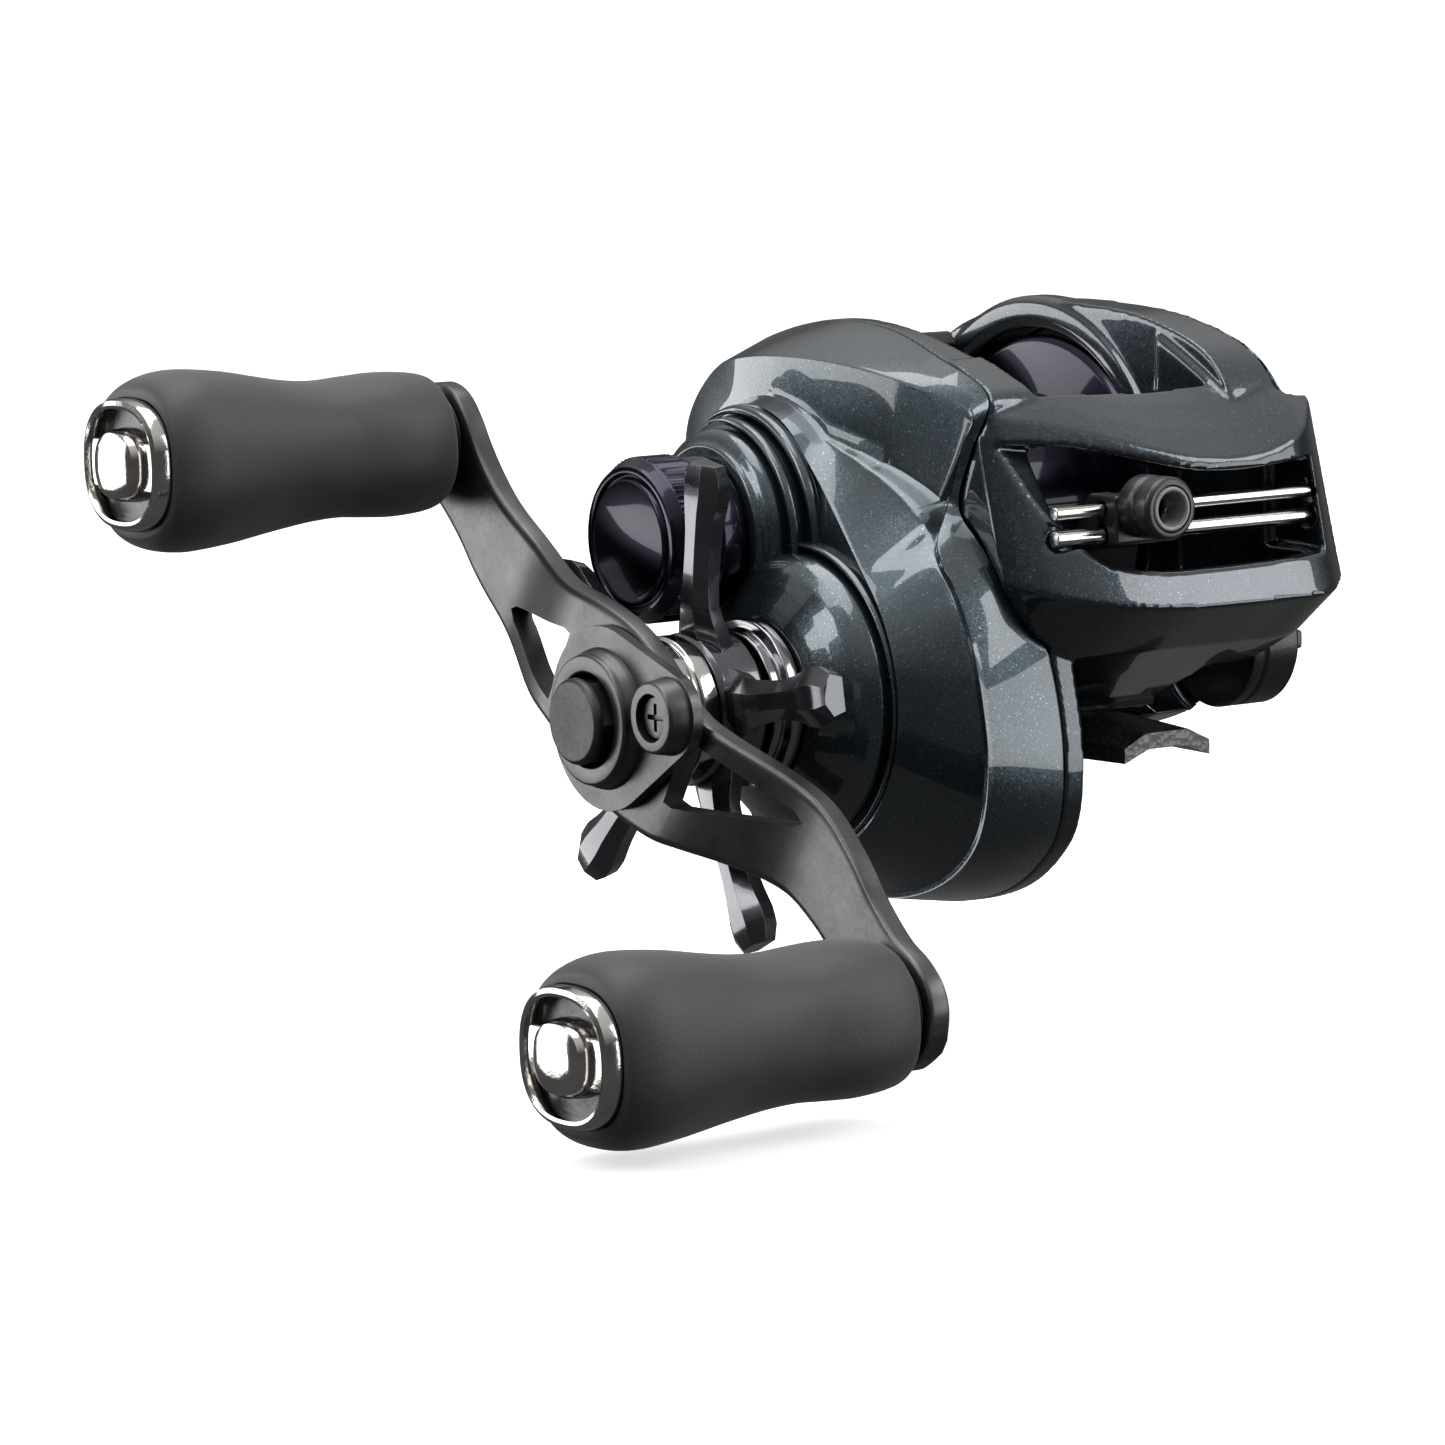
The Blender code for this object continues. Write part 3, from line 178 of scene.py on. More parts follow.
def piece(name, ob, mat, body, replaces=(), sharp=38, flat=False):
    """Finish a scratch object: name, metres, material, and the body it belongs to."""
    ob.name = ob.data.name = name
    ob.data.transform(Matrix.Scale(MM, 4))
    ob.data.materials.clear()
    ob.data.materials.append(mat)
    if flat:
        flat_faced(ob, sharp)
    else:
        ob.data.shade_smooth()
        ob.data.set_sharp_from_angle(angle=radians(sharp))
    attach(ob, body)
    if replaces:
        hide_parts(*replaces)
    return ob


def fillet(profile, radius, steps=3):
    """Round the corners of an (x, radius) profile, leaving its two ends where they are."""
    points = [Vector(p) for p in profile]
    closed = profile[0][1] > 0
    rounded = []
    for i, corner in enumerate(points):
        if not closed and i in (0, len(points) - 1):
            rounded.append(tuple(corner))
            continue
        before, after = points[i - 1], points[(i + 1) % len(points)]
        back, ahead = before - corner, after - corner
        length = min(radius, 0.42 * back.length, 0.42 * ahead.length)
        start = corner + back.normalized() * length
        end = corner + ahead.normalized() * length
        for k in range(steps + 1):
            t = k / steps
            rounded.append(tuple(start * (1 - t) ** 2 + corner * 2 * t * (1 - t) + end * t * t))
    return rounded


def skin(bm, row, following):
    """Faces between two rings of vertices, either of which may be a single point."""
    count = max(len(row), len(following))
    for i in range(count):
        j = (i + 1) % count
        loop = [row[i % len(row)], row[j % len(row)], following[j % len(following)],
                following[i % len(following)]]
        bm.faces.new(list(dict.fromkeys(loop)))


def turned(profile, steps=72, ripple=None):
    """Solid turned about X from an (x, radius) profile, each radius grown by ripple(x, angle)."""
    bm = bmesh.new()
    rings = []
    for x, r in profile:
        if r <= 0:
            rings.append([bm.verts.new((x, 0.0, 0.0))])
            continue
        ring = []
        for k in range(steps):
            angle = 2 * pi * k / steps
            grown = r + (ripple(x, angle) if ripple else 0.0)
            ring.append(bm.verts.new((x, grown * cos(angle), grown * sin(angle))))
        rings.append(ring)
    if profile[0][1] > 0:
        rings.append(rings[0])
    for row, following in zip(rings, rings[1:]):
        skin(bm, row, following)
    return bm


def disc(x0, x1, radius, steps=72):
    return turned([(x0, 0.0), (x0, radius), (x1, radius), (x1, 0.0)], steps)


def bore(ob, axis, x0, x1, radius, steps=72):
    """Drill a round hole along X."""
    return cut(ob, raw(disc(x0, x1, radius, steps), axis))


def tube(rings, closed=False):
    """Skin through closed rings of (x, y, z) points: its mesh, and its rows of vertices."""
    bm = bmesh.new()
    rows = [[bm.verts.new(point) for point in points] for points in rings]
    for row, following in zip(rows, rows[1:] + (rows[:1] if closed else [])):
        skin(bm, row, following)
    return bm, rows


def bridge(rings, hub=None):
    """Skin through closed rings, its ends closed by fans about hub (y, z)."""
    bm, rows = tube(rings)
    for row in (rows[0], rows[-1]):
        middle = sum((vert.co for vert in row), Vector()) / len(row)
        if hub:
            middle = Vector((middle.x, *hub))
        skin(bm, row, [bm.verts.new(middle)])
    return bm


def bridge_flat(rings):
    """Skin through closed rings, each end closed by one flat face."""
    bm, rows = tube(rings)
    for row in (rows[0], rows[-1]):
        bm.faces.new(row)
    bmesh.ops.triangulate(bm, faces=[face for face in bm.faces if len(face.verts) > 4])
    return bm


def prism(outline, first, last):
    """(y, z) outline extruded along X."""
    return bridge_flat([[(x, y, z) for y, z in outline] for x in (first, last)])


def block(x0, x1, y0, y1, z0, z1):
    return prism([(y0, z0), (y1, z0), (y1, z1), (y0, z1)], x0, x1)


def spline(a, b, c, d, t):
    """Point on a smooth curve from b to c."""
    return 0.5 * (2 * b + (c - a) * t + (2 * a - 5 * b + 4 * c - d) * t * t
                  + (3 * b - a - 3 * c + d) * t ** 3)


def smooth(rows, steps, closed=False):
    """Smooth curve through rows of numbers, either closed or from the first row to the last."""
    points = [Vector(row) for row in rows]
    if closed:
        padded = [points[-1], *points, *points[:2]]
    else:
        padded = [points[0], *points, points[-1]]
    curve = []
    for a, b, c, d in zip(padded, padded[1:], padded[2:], padded[3:]):
        curve += [spline(a, b, c, d, s / steps) for s in range(steps)]
    return curve if closed else curve + [points[-1]]


def upright(bm):
    """Stand a piece made along X on end, along Z."""
    bmesh.ops.rotate(bm, matrix=Matrix.Rotation(radians(-90), 3, "Y"), verts=bm.verts)
    return bm


def lengthwise(bm, x, y, z):
    """Turn a piece made along X so that it runs along Y from (x, y, z)."""
    bmesh.ops.rotate(bm, matrix=Matrix.Rotation(radians(90), 3, "Z"), verts=bm.verts)
    bmesh.ops.translate(bm, vec=(x, y, z), verts=bm.verts)
    return bm


def smoothstep(edge0, edge1, value):
    t = min(1.0, max(0.0, (value - edge0) / (edge1 - edge0)))
    return t * t * (3 - 2 * t)


# ---- materials ----
class Finish:
    """A Principled material with helpers for its procedural detail."""

    def __init__(self, name, colour, metallic, roughness, coat=0.0, coat_roughness=0.03):
        self.mat = bpy.data.materials.new(name)
        self.mat.use_nodes = True
        self.nodes = self.mat.node_tree.nodes
        self.links = self.mat.node_tree.links
        self.shader = self.nodes["Principled BSDF"]
        self.colour = colour
        self.set("Base Color", (*colour, 1.0))
        self.set("Metallic", metallic)
        self.set("Roughness", roughness)
        self.set("Coat Weight", coat)
        self.set("Coat Roughness", coat_roughness)
        self.mat.diffuse_color = (*colour, 1.0)
        self.place = self.nodes.new("ShaderNodeTexCoord").outputs["Object"]

    def set(self, socket, value):
        self.shader.inputs[socket].default_value = value

    def link(self, source, socket):
        self.links.new(source, self.shader.inputs[socket])

    def new(self, kind, **values):
        """A new node with its input values."""
        node = self.nodes.new("ShaderNode" + kind)
        for socket, value in values.items():
            node.inputs[socket].default_value = value
        return node

    def vector(self, operation, *sources):
        """Result of a vector operation on links and constants."""
        node = self.new("VectorMath")
        node.operation = operation
        for socket, source in zip(node.inputs, sources):
            if isinstance(source, tuple):
                socket.default_value = source
            else:
                self.links.new(source, socket)
        return node.outputs["Value" if operation == "LENGTH" else "Vector"]

    def noise(self, scale, detail=3.0, stretch=None):
        node = self.new("TexNoise", Scale=scale, Detail=detail)
        place = self.place
        if stretch:
            mapping = self.new("Mapping", Scale=stretch)
            self.links.new(place, mapping.inputs["Vector"])
            place = mapping.outputs["Vector"]
        self.links.new(place, node.inputs["Vector"])
        return node.outputs["Fac"]

    def cells(self, scale, output="Color"):
        node = self.new("TexVoronoi", Scale=scale)
        self.links.new(self.place, node.inputs["Vector"])
        return node.outputs[output]

    def ramp(self, value, stops):
        node = self.new("ValToRGB")
        fill_ramp(node, stops)
        self.links.new(value, node.inputs["Fac"])
        return node.outputs["Color"]

    def tints(self, value, darker, lighter, start=0.3, stop=0.7):
        """Base colour between two tints of the finish's own colour."""
        self.link(self.ramp(value, [(start, tinted(self.colour, darker)),
                                    (stop, tinted(self.colour, lighter))]), "Base Color")

    def gloss(self, value, shiny, rough):
        self.link(self.range(value, shiny, rough), "Roughness")

    def range(self, value, low_out, high_out, low_in=0.0, high_in=1.0):
        node = self.new("MapRange", **{"From Min": low_in, "From Max": high_in,
                                       "To Min": low_out, "To Max": high_out})
        self.links.new(value, node.inputs["Value"])
        return node.outputs["Result"]

    def mix(self, share, first, second):
        node = self.nodes.new("ShaderNodeMix")
        node.data_type = "RGBA"
        for source, socket in ((share, 0), (first, 6), (second, 7)):
            if isinstance(source, tuple):
                node.inputs[socket].default_value = (*source, 1.0)
            else:
                self.links.new(source, node.inputs[socket])
        return node.outputs[2]

    def bump(self, height, distance, strength=1.0):
        node = self.new("Bump", Strength=strength, Distance=distance)
        self.links.new(height, node.inputs["Height"])
        self.link(node.outputs["Normal"], "Normal")

    def turning(self, y, z, scale):
        """Fine turning marks: a noise that changes only with distance from an axis along X."""
        shift = self.vector("SUBTRACT", self.place, (0.0, y * MM, z * MM))
        flat = self.vector("MULTIPLY", shift, (0.0, 1.0, 1.0))
        node = self.new("TexNoise", Scale=scale, Detail=2.0)
        node.noise_dimensions = "1D"
        self.links.new(self.vector("LENGTH", flat), node.inputs["W"])
        return node.outputs["Fac"]


def fill_ramp(node, stops):
    """Give a colour ramp its (place, colour) stops."""
    elements = node.color_ramp.elements
    while len(elements) < len(stops):
        elements.new(0.5)
    for element, (place, colour) in zip(elements, stops):
        element.position = place
        element.color = (*colour, 1.0)


def tinted(colour, factor):
    return tuple(min(1.0, channel * factor) for channel in colour)


FLAKES = 9000.0                     # flakes to the metre


def pearl_paint(name, colour, flake):
    """Clear-coated pearl paint: dark base, tilted flakes, a few bright sparkles."""
    f = Finish(name, colour, 0.9, 0.3, 1.0, 0.025)
    cell = f.cells(FLAKES)
    split = f.new("SeparateColor")
    f.links.new(cell, split.inputs[0])
    flakes = f.ramp(split.outputs[0], [(0.0, tinted(colour, 0.85)), (0.7, tinted(colour, 1.1)),
                                       (0.93, tinted(flake, 0.6)), (0.985, flake),
                                       (1.0, tinted(flake, 2.2))])
    drift = f.ramp(f.noise(90.0, 2.0), [(0.3, tinted(colour, 0.75)), (0.7, tinted(colour, 1.35))])
    share = f.range(split.outputs[1], 0.35, 1.0)
    f.link(f.mix(share, drift, flakes), "Base Color")
    tilt = f.vector("MULTIPLY", f.vector("SUBTRACT", cell, (0.5, 0.5, 0.5)), (0.09, 0.09, 0.09))
    facing = f.vector("ADD", f.new("NewGeometry").outputs["Normal"], tilt)
    f.link(f.vector("NORMALIZE", facing), "Normal")
    f.gloss(f.noise(400.0, 2.0), 0.25, 0.36)
    return f.mat


def moulded_plastic(name, colour, roughness, grain=1500.0, depth=0.00003):
    """Moulded part with a fine grain and slightly uneven shine."""
    f = Finish(name, colour, 0.0, roughness)
    f.tints(f.noise(260.0), 0.8, 1.3)
    f.gloss(f.noise(700.0), roughness - 0.08, roughness + 0.1)
    f.bump(f.noise(grain, 2.0), depth)
    return f.mat


def crinkle_black(name):
    """Black crinkle enamel of the foot."""
    f = Finish(name, (0.017, 0.018, 0.02), 0.0, 0.32, 0.5, 0.15)
    f.tints(f.noise(500.0), 0.7, 1.6)
    f.bump(f.cells(1500.0, "Distance"), 0.00018, 0.9)
    return f.mat


def soft_touch(name):
    """Matte soft-touch coating with fine pale specks."""
    colour = (0.027, 0.027, 0.030)
    f = Finish(name, colour, 0.0, 0.56)
    f.set("Sheen Weight", 0.18)
    f.set("Sheen Roughness", 0.45)
    specks = f.range(f.cells(2300.0, "Distance"), 1.0, 0.0, 0.03, 0.13)
    base = f.ramp(f.noise(160.0), [(0.3, tinted(colour, 0.88)), (0.7, tinted(colour, 1.16))])
    f.link(f.mix(specks, base, (0.09, 0.09, 0.1)), "Base Color")
    f.gloss(f.noise(320.0), 0.5, 0.62)
    f.bump(f.noise(3000.0, 2.0), 0.00003, 0.6)
    return f.mat


def satin_metal(name, colour, roughness, metallic=0.9, coat=0.0, wear=1.25):
    """Anodised metal with a fine blasted grain and slightly lighter patches."""
    f = Finish(name, colour, metallic, roughness, coat, 0.06)
    f.tints(f.noise(240.0), 0.85, wear, 0.3, 0.72)
    f.gloss(f.noise(2600.0, 2.0), roughness - 0.07, roughness + 0.09)
    f.bump(f.noise(5200.0, 1.0), 0.000012, 0.5)
    return f.mat


def turned_metal(name, colour, roughness, axis, scale=9000.0, coat=0.0):
    """Anodised or plated metal with the fine rings of the lathe round an axis."""
    f = Finish(name, colour, 1.0, roughness, coat, 0.05)
    marks = f.turning(*axis, scale)
    f.tints(marks, 0.86, 1.14)
    f.gloss(marks, roughness - 0.04, roughness + 0.07)
    f.bump(marks, 0.00001, 0.6)
    return f.mat


def drawn_steel(name, colour, roughness):
    """Polished rod and sheet with drawing lines along X."""
    f = Finish(name, colour, 1.0, roughness)
    lines = f.noise(2200.0, 2.0, (0.04, 1.0, 1.0))
    f.tints(lines, 0.82, 1.1)
    f.gloss(lines, roughness - 0.05, roughness + 0.1)
    f.bump(lines, 0.000008, 0.5)
    return f.mat


def woven_carbon(name):
    """Checked weave of the drag washer."""
    f = Finish(name, (0.02, 0.02, 0.022), 0.0, 0.4)
    check = f.new("TexChecker", Scale=900.0).outputs["Fac"]
    f.links.new(f.place, check.node.inputs["Vector"])
    f.link(f.ramp(check, [(0.4, (0.012, 0.012, 0.013)), (0.6, (0.05, 0.05, 0.053))]), "Base Color")
    f.bump(check, 0.00004, 0.5)
    return f.mat


PEARL = pearl_paint("pearl_gunmetal", (0.04, 0.053, 0.062), (0.1, 0.135, 0.16))
FRAME_PAINT = pearl_paint("frame_gunmetal", (0.024, 0.032, 0.04), (0.07, 0.095, 0.115))
BLACK = moulded_plastic("black_plastic", (0.012, 0.012, 0.014), 0.3)
CRINKLE = crinkle_black("crinkle_black")
GRIP = soft_touch("soft_grip")
CHARCOAL = satin_metal("charcoal_anodised", (0.075, 0.075, 0.078), 0.34)
CHARCOAL_FLAT = satin_metal("charcoal_matt", (0.055, 0.055, 0.058), 0.45)
GLOSS_DARK = satin_metal("gloss_dark", (0.06, 0.063, 0.07), 0.2, 0.85, 0.8)
NAVY = turned_metal("navy_anodised", (0.015, 0.015, 0.028), 0.3, SPOOL, 9000.0, 0.4)
STEEL = drawn_steel("polished_steel", (0.62, 0.6, 0.57), 0.16)
NICKEL = satin_metal("bright_nickel", (0.5, 0.485, 0.46), 0.1, 1.0, 0.0, 1.08)
COLLAR = turned_metal("dark_nickel", (0.2, 0.2, 0.21), 0.1, DRIVE, 5000.0, 0.5)
BRASS = turned_metal("brass", (0.52, 0.37, 0.16), 0.28, DRIVE)
CARBON = woven_carbon("carbon_fibre")
CERAMIC = moulded_plastic("guide_ceramic", (0.2, 0.19, 0.18), 0.16, 900.0, 0.00001)
CAD_FINISH = {"pearl_gunmetal": PEARL, "frame_gunmetal": FRAME_PAINT, "black_plastic": BLACK,
              "soft_grip": GRIP, "dark_anodised": CHARCOAL, "navy_anodised": NAVY,
              "polished_steel": STEEL, "bright_nickel": NICKEL, "brass": BRASS,
              "carbon_fibre": CARBON, "guide_ceramic": CERAMIC}
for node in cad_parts.values():
    for socket in node.material_slots:
        base = socket.material.name.split(".")[0]
        if base in CAD_FINISH:
            socket.material = CAD_FINISH[base]


# ---- outlines of the body ----
# Going round from the middle of the back over the top to the front: (y, z, x outwards) on
# the rim, then on the crease where the side wall meets the face.
HANDLE_SIDE = [
    ((21.6, 22.0, 14.0), (19.4, 21.6, 19.8)),
    ((20.9, 29.6, 14.0), (18.6, 28.8, 19.8)),
    ((16.6, 35.0, 14.0), (13.6, 33.7, 20.4)),
    ((9.8, 37.6, 14.0), (7.2, 35.4, 21.6)),
    ((2.0, 38.8, 14.0), (-0.8, 35.9, 21.8)),
    ((-6.1, 38.3, 14.0), (-8.4, 35.5, 20.9)),
    ((-14.6, 36.4, 15.2), (-16.2, 34.1, 19.6)),
    ((-24.6, 33.3, 16.8), (-23.8, 31.9, 18.2)),
    ((-24.0, 28.7, 18.1), (-23.1, 28.6, 18.7)),
    ((-22.0, 23.3, 18.3), (-21.0, 23.4, 18.8)),
    ((-24.4, 20.1, 17.9), (-23.4, 19.8, 21.9)),
    ((-27.2, 16.4, 16.6), (-26.3, 15.9, 22.0)),
    ((-28.9, 12.8, 14.8), (-28.3, 12.0, 22.0)),
    ((-30.3, 7.8, 14.0), (-29.9, 7.0, 22.1)),
    ((-31.5, 1.2, 14.0), (-30.8, 0.8, 22.1)),
    ((-30.9, -5.0, 14.0), (-29.7, -5.0, 22.0)),
    ((-28.2, -9.0, 14.0), (-26.8, -8.9, 22.0)),
    ((-22.6, -12.6, 14.0), (-21.4, -11.9, 21.9)),
    ((-14.0, -14.6, 14.0), (-13.6, -13.5, 21.6)),
    ((-4.0, -14.0, 14.0), (-4.4, -12.8, 21.3)),
    ((5.0, -10.4, 14.0), (4.2, -9.4, 21.0)),
    ((12.4, -4.0, 14.0), (11.0, -3.4, 20.6)),
    ((17.6, 4.6, 14.0), (15.8, 4.8, 20.2)),
    ((20.6, 13.6, 14.0), (18.6, 13.6, 19.9)),
]
PALM_SIDE = [
    ((21.6, 20.0, 14.0), (17.6, 20.0, 21.4)),
    ((20.9, 29.6, 14.0), (16.8, 27.6, 21.4)),
    ((16.6, 35.0, 14.0), (12.6, 32.2, 21.4)),
    ((9.8, 37.8, 14.0), (6.8, 34.6, 21.4)),
    ((2.0, 39.2, 14.0), (0.0, 35.6, 21.4)),
    ((-6.1, 39.2, 14.0), (-6.8, 35.4, 21.4)),
    ((-14.6, 38.4, 14.4), (-13.6, 34.2, 21.2)),
    ((-23.0, 35.8, 15.0), (-20.6, 31.6, 20.6)),
    ((-27.4, 31.4, 15.4), (-24.4, 27.6, 20.0)),
    ((-28.6, 25.4, 15.4), (-25.8, 23.0, 19.8)),
    ((-28.4, 18.4, 15.0), (-25.6, 17.6, 20.0)),
    ((-26.6, 11.4, 14.4), (-23.6, 11.8, 20.4)),
    ((-21.8, 4.6, 14.0), (-18.8, 6.6, 21.0)),
    ((-13.6, 0.2, 14.0), (-11.6, 3.4, 21.4)),
    ((-3.6, -1.6, 14.0), (-3.0, 2.2, 21.4)),
    ((6.4, -0.4, 14.0), (5.2, 3.2, 21.4)),
    ((14.4, 4.0, 14.0), (11.6, 7.0, 21.4)),
    ((19.8, 11.2, 14.0), (16.2, 12.8, 21.4)),
]
# Nose: x, then (y, z) of the hood's back edge, its crease, the sill, the lower crease, the heel.
NOSE = [
    (-17.9, -17.0, 34.9, -24.0, 31.9, -27.6, 18.4, -28.2, 16.6, -25.6, 12.6),
    (-15.8, -17.0, 35.8, -26.0, 31.2, -31.6, 17.6, -32.4, 15.5, -28.4, 10.2),
    (-11.0, -17.0, 36.2, -28.4, 30.2, -33.9, 17.3, -35.2, 14.5, -30.4, 9.4),
    (-5.0, -17.0, 36.0, -31.2, 28.4, -35.0, 17.2, -36.6, 13.9, -31.0, 9.4),
    (1.0, -17.0, 36.0, -33.0, 26.9, -35.2, 17.2, -36.9, 13.7, -31.0, 9.4),
    (8.0, -17.0, 36.6, -33.1, 26.7, -35.0, 17.2, -36.7, 13.7, -31.0, 9.4),
    (14.0, -17.0, 37.4, -32.0, 28.4, -34.5, 17.2, -36.0, 13.8, -30.6, 9.6),
    (18.0, -17.0, 36.2, -28.2, 31.0, -31.8, 17.6, -32.8, 14.7, -27.6, 11.6),
]
# Window in the nose: (x, z) of its edge, then (x, z) of the flare round it on the front face.
WINDOW_TOP = [(-13.4, 28.4, -17.2, 28.9), (-9.6, 28.0, -11.4, 28.6), (-5.0, 26.8, -5.4, 27.2),
              (1.0, 25.4, 1.0, 25.8), (8.0, 25.2, 8.0, 25.6), (14.6, 25.8, 14.9, 26.2)]
WINDOW_FOOT = [(14.6, 17.6, 14.9, 17.3), (8.0, 17.4, 8.0, 17.0), (1.0, 17.3, 0.6, 16.9),
               (-4.6, 17.7, -6.4, 17.1), (-8.8, 19.6, -11.8, 18.9), (-11.6, 23.4, -15.2, 23.2),
               (-13.4, 28.4, -17.2, 28.9)]
FLARE_DEPTH = 2.6
SPAN = 10                           # samples to each span of an outline
GAP = 0.3                           # clearance of the cover posts
SEAM = 0.14                         # gap of the visible seams
# Crown of a side's face: share of the way in from the crease, share of the full rise.
CROWN = ((0.0, 0.0), (0.05, 0.3), (0.14, 0.62), (0.26, 0.86), (0.4, 1.0), (1.0, 1.0))
CROWN_HUB = (-3.0, 14.0)


def rim(side):
    return smooth([row[0] for row in side], SPAN, True)


def crease(side):
    return smooth([row[1] for row in side], SPAN, True)


def at_x(points, x):
    return [(x, p[0], p[1]) for p in points]


def outward(points, sign, shift=0.0):
    return [(sign * (p[2] + shift), p[0], p[1]) for p in points]


def shrink(points, wall):
    """Outline moved inwards by a wall thickness."""
    count = len(points)
    moved = []
    for i in range(count):
        along = Vector(points[(i + 1) % count][:2]) - Vector(points[i - 1][:2])
        normal = Vector((-along.y, along.x)).normalized()
        inner = Vector(points[i][:2]) + normal * wall
        moved.append((inner.x, inner.y, points[i][2]))
    return moved


def towards(points, y, z, share, depth):
    return [(p[0] + (y - p[0]) * share, p[1] + (z - p[1]) * share, p[2] + depth) for p in points]


def side_solid(side, sign, face):
    """Side cover as a solid: rim, side wall, crease and a face crowned in four steps."""
    fold = crease(side)
    rows = [outward(rim(side), sign), outward(fold, sign)]
    for share, depth in CROWN[1:-1]:
        rows.append(outward(towards(fold, *CROWN_HUB, share, face * depth), sign))
    return raw(bridge(rows, HUB))


def side_hollow(side, sign, wall):
    inner = shrink(crease(side), wall)
    return raw(bridge([at_x(inner, sign * 8.0), outward(inner, sign, -wall)], HUB))


# ---- handle-side cover ----
POSTS = [(-26.0, -6.6, 21.4), (14.6, 29.0, 19.6), (13.0, 5.0, 19.6)]    # (y, z, how far out)
BAND_TOP = 27.3                     # height of the raised band at the lip of the recess
BAND_DIP = 3.1                      # how much lower it is towards the tower


def around(first, second, steps=48):
    """Outline round two circles, each (y, z, radius)."""
    points = []
    for y, z, r in (first, second):
        points += [Vector((y + r * cos(2 * pi * k / steps), z + r * sin(2 * pi * k / steps)))
                   for k in range(steps)]
    return [tuple(points[i]) for i in geometry.convex_hull_2d(points)]


def reach(outline, hub, angle):
    """Distance from a hub to a closed (y, z) outline along a direction."""
    along, across = Vector((cos(angle), sin(angle))), Vector((-sin(angle), cos(angle)))
    far = 0.0
    for i in range(len(outline)):
        a, b = (Vector(outline[i - k][:2]) - Vector(hub) for k in (1, 0))
        side_a, side_b = a.dot(across), b.dot(across)
        if (side_a <= 0.0) != (side_b <= 0.0):
            t = side_a / (side_a - side_b)
            far = max(far, (a + (b - a) * t).dot(along))
    return far


def upper_face(y):
    """How far out the upper face of the handle side is: it falls away towards the front."""
    return 22.3 - 0.0055 * (y - 4.0) ** 2


RECESS = around((*DRIVE, 14.6), (*SPOOL, 11.7), 72)
# Edge of the raised band from its tip to the front seam: degrees past the tip, radius, height.
SCOOP = ((0.0, 27.0, 22.24), (7.0, 25.0, 22.24), (14.0, 23.4, 22.22), (22.0, 22.1, 22.2),
         (32.0, 21.1, 22.12), (43.0, 20.6, 22.05), (54.0, 20.35, 22.0), (66.0, 20.3, 21.95))
TIP_ANGLE = atan2(25.0, 10.2)       # direction of the tip from the drive axis


def scoop_edge(turn):
    """(radius, height) of the band's edge at a turn, in degrees, past its tip."""
    for (t0, r0, h0), (t1, r1, h1) in zip(SCOOP, SCOOP[1:]):
        if turn <= t1:
            share = (turn - t0) / (t1 - t0)
            return r0 + (r1 - r0) * share, h0 + (h1 - h0) * share
    return SCOOP[-1][1:]


def face_ray(fold_point):
    """Face of the cover along one ray: (radius, height) from the crease to the recess's lip."""
    dy, dz = fold_point[0] - DRIVE[0], fold_point[1] - DRIVE[1]
    angle, far, edge_height = atan2(dz, dy), hypot(dy, dz), fold_point[2]
    turn = ((angle - TIP_ANGLE) % (2 * pi)) * 180 / pi
    inner = reach(RECESS, DRIVE, angle)
    lean = 0.5 + 0.5 * cos(angle - atan2(SPOOL[1] - DRIVE[1], SPOOL[0] - DRIVE[0]))
    top = BAND_TOP - BAND_DIP * lean ** 3
    rear = smoothstep(205.0, 262.0, turn) * (1 - smoothstep(335.0, 360.0, turn))
    tip = smoothstep(300.0, 360.0, turn)
    past = smoothstep(58.0, 74.0, turn)

    def outside(r):
        level = upper_face(DRIVE[0] + r * cos(angle))
        return level + (edge_height - upper_face(fold_point[0])) * (r / far) ** 6

    scoop_radius, scoop_height = scoop_edge(min(turn, SCOOP[-1][0]))
    in_scoop = turn <= SCOOP[-1][0]
    radius, height = far - 0.04 - 0.46 * past, edge_height + 0.05
    if in_scoop:
        radius = min(scoop_radius, radius)
        height = scoop_height + (height - scoop_height) * past
    radius += (SCOOP[0][1] - radius) * tip
    radius = max(radius, inner + 0.8)
    if tip:
        height = outside(radius)
    gap = far - radius
    cliff = min(0.35 + 0.55 * smoothstep(0.0, 50.0, turn) if in_scoop else 0.45, 0.9 * gap)

    def inside(share):
        r = inner + (radius - inner) * share
        front = height + (top - height) * (1 - share) ** 1.12
        back = outside(r) + max(0.0, top - outside(inner)) * (1 - share) ** 3
        return r, front + (back - front) * rear

    rows = []
    for share in (0.98, 0.9, 0.75, 0.58, 0.4, 0.22, 0.0):
        r = radius + cliff + (gap - cliff) * share
        rows.append((r, outside(r) if in_scoop or tip else edge_height))
    drop = rows[-1][1]
    rim_height = inside(1.0)[1]
    for step, fall in ((0.85, 0.93), (0.6, 0.66), (0.35, 0.36), (0.12, 0.08)):
        rows.append((radius + step * cliff, rim_height + (drop - rim_height) * fall))
    rows += [inside(share) for share in
             (1.0, 0.97, 0.93, 0.86, 0.78, 0.68, 0.56, 0.44, 0.32, 0.2, 0.1, 0.04)]
    lip = inside(0.0)[1]
    rows += [(inner + 0.12, lip - 0.05), (inner + 0.02, lip - 0.2), (inner, lip - 0.45)]
    return angle, rows


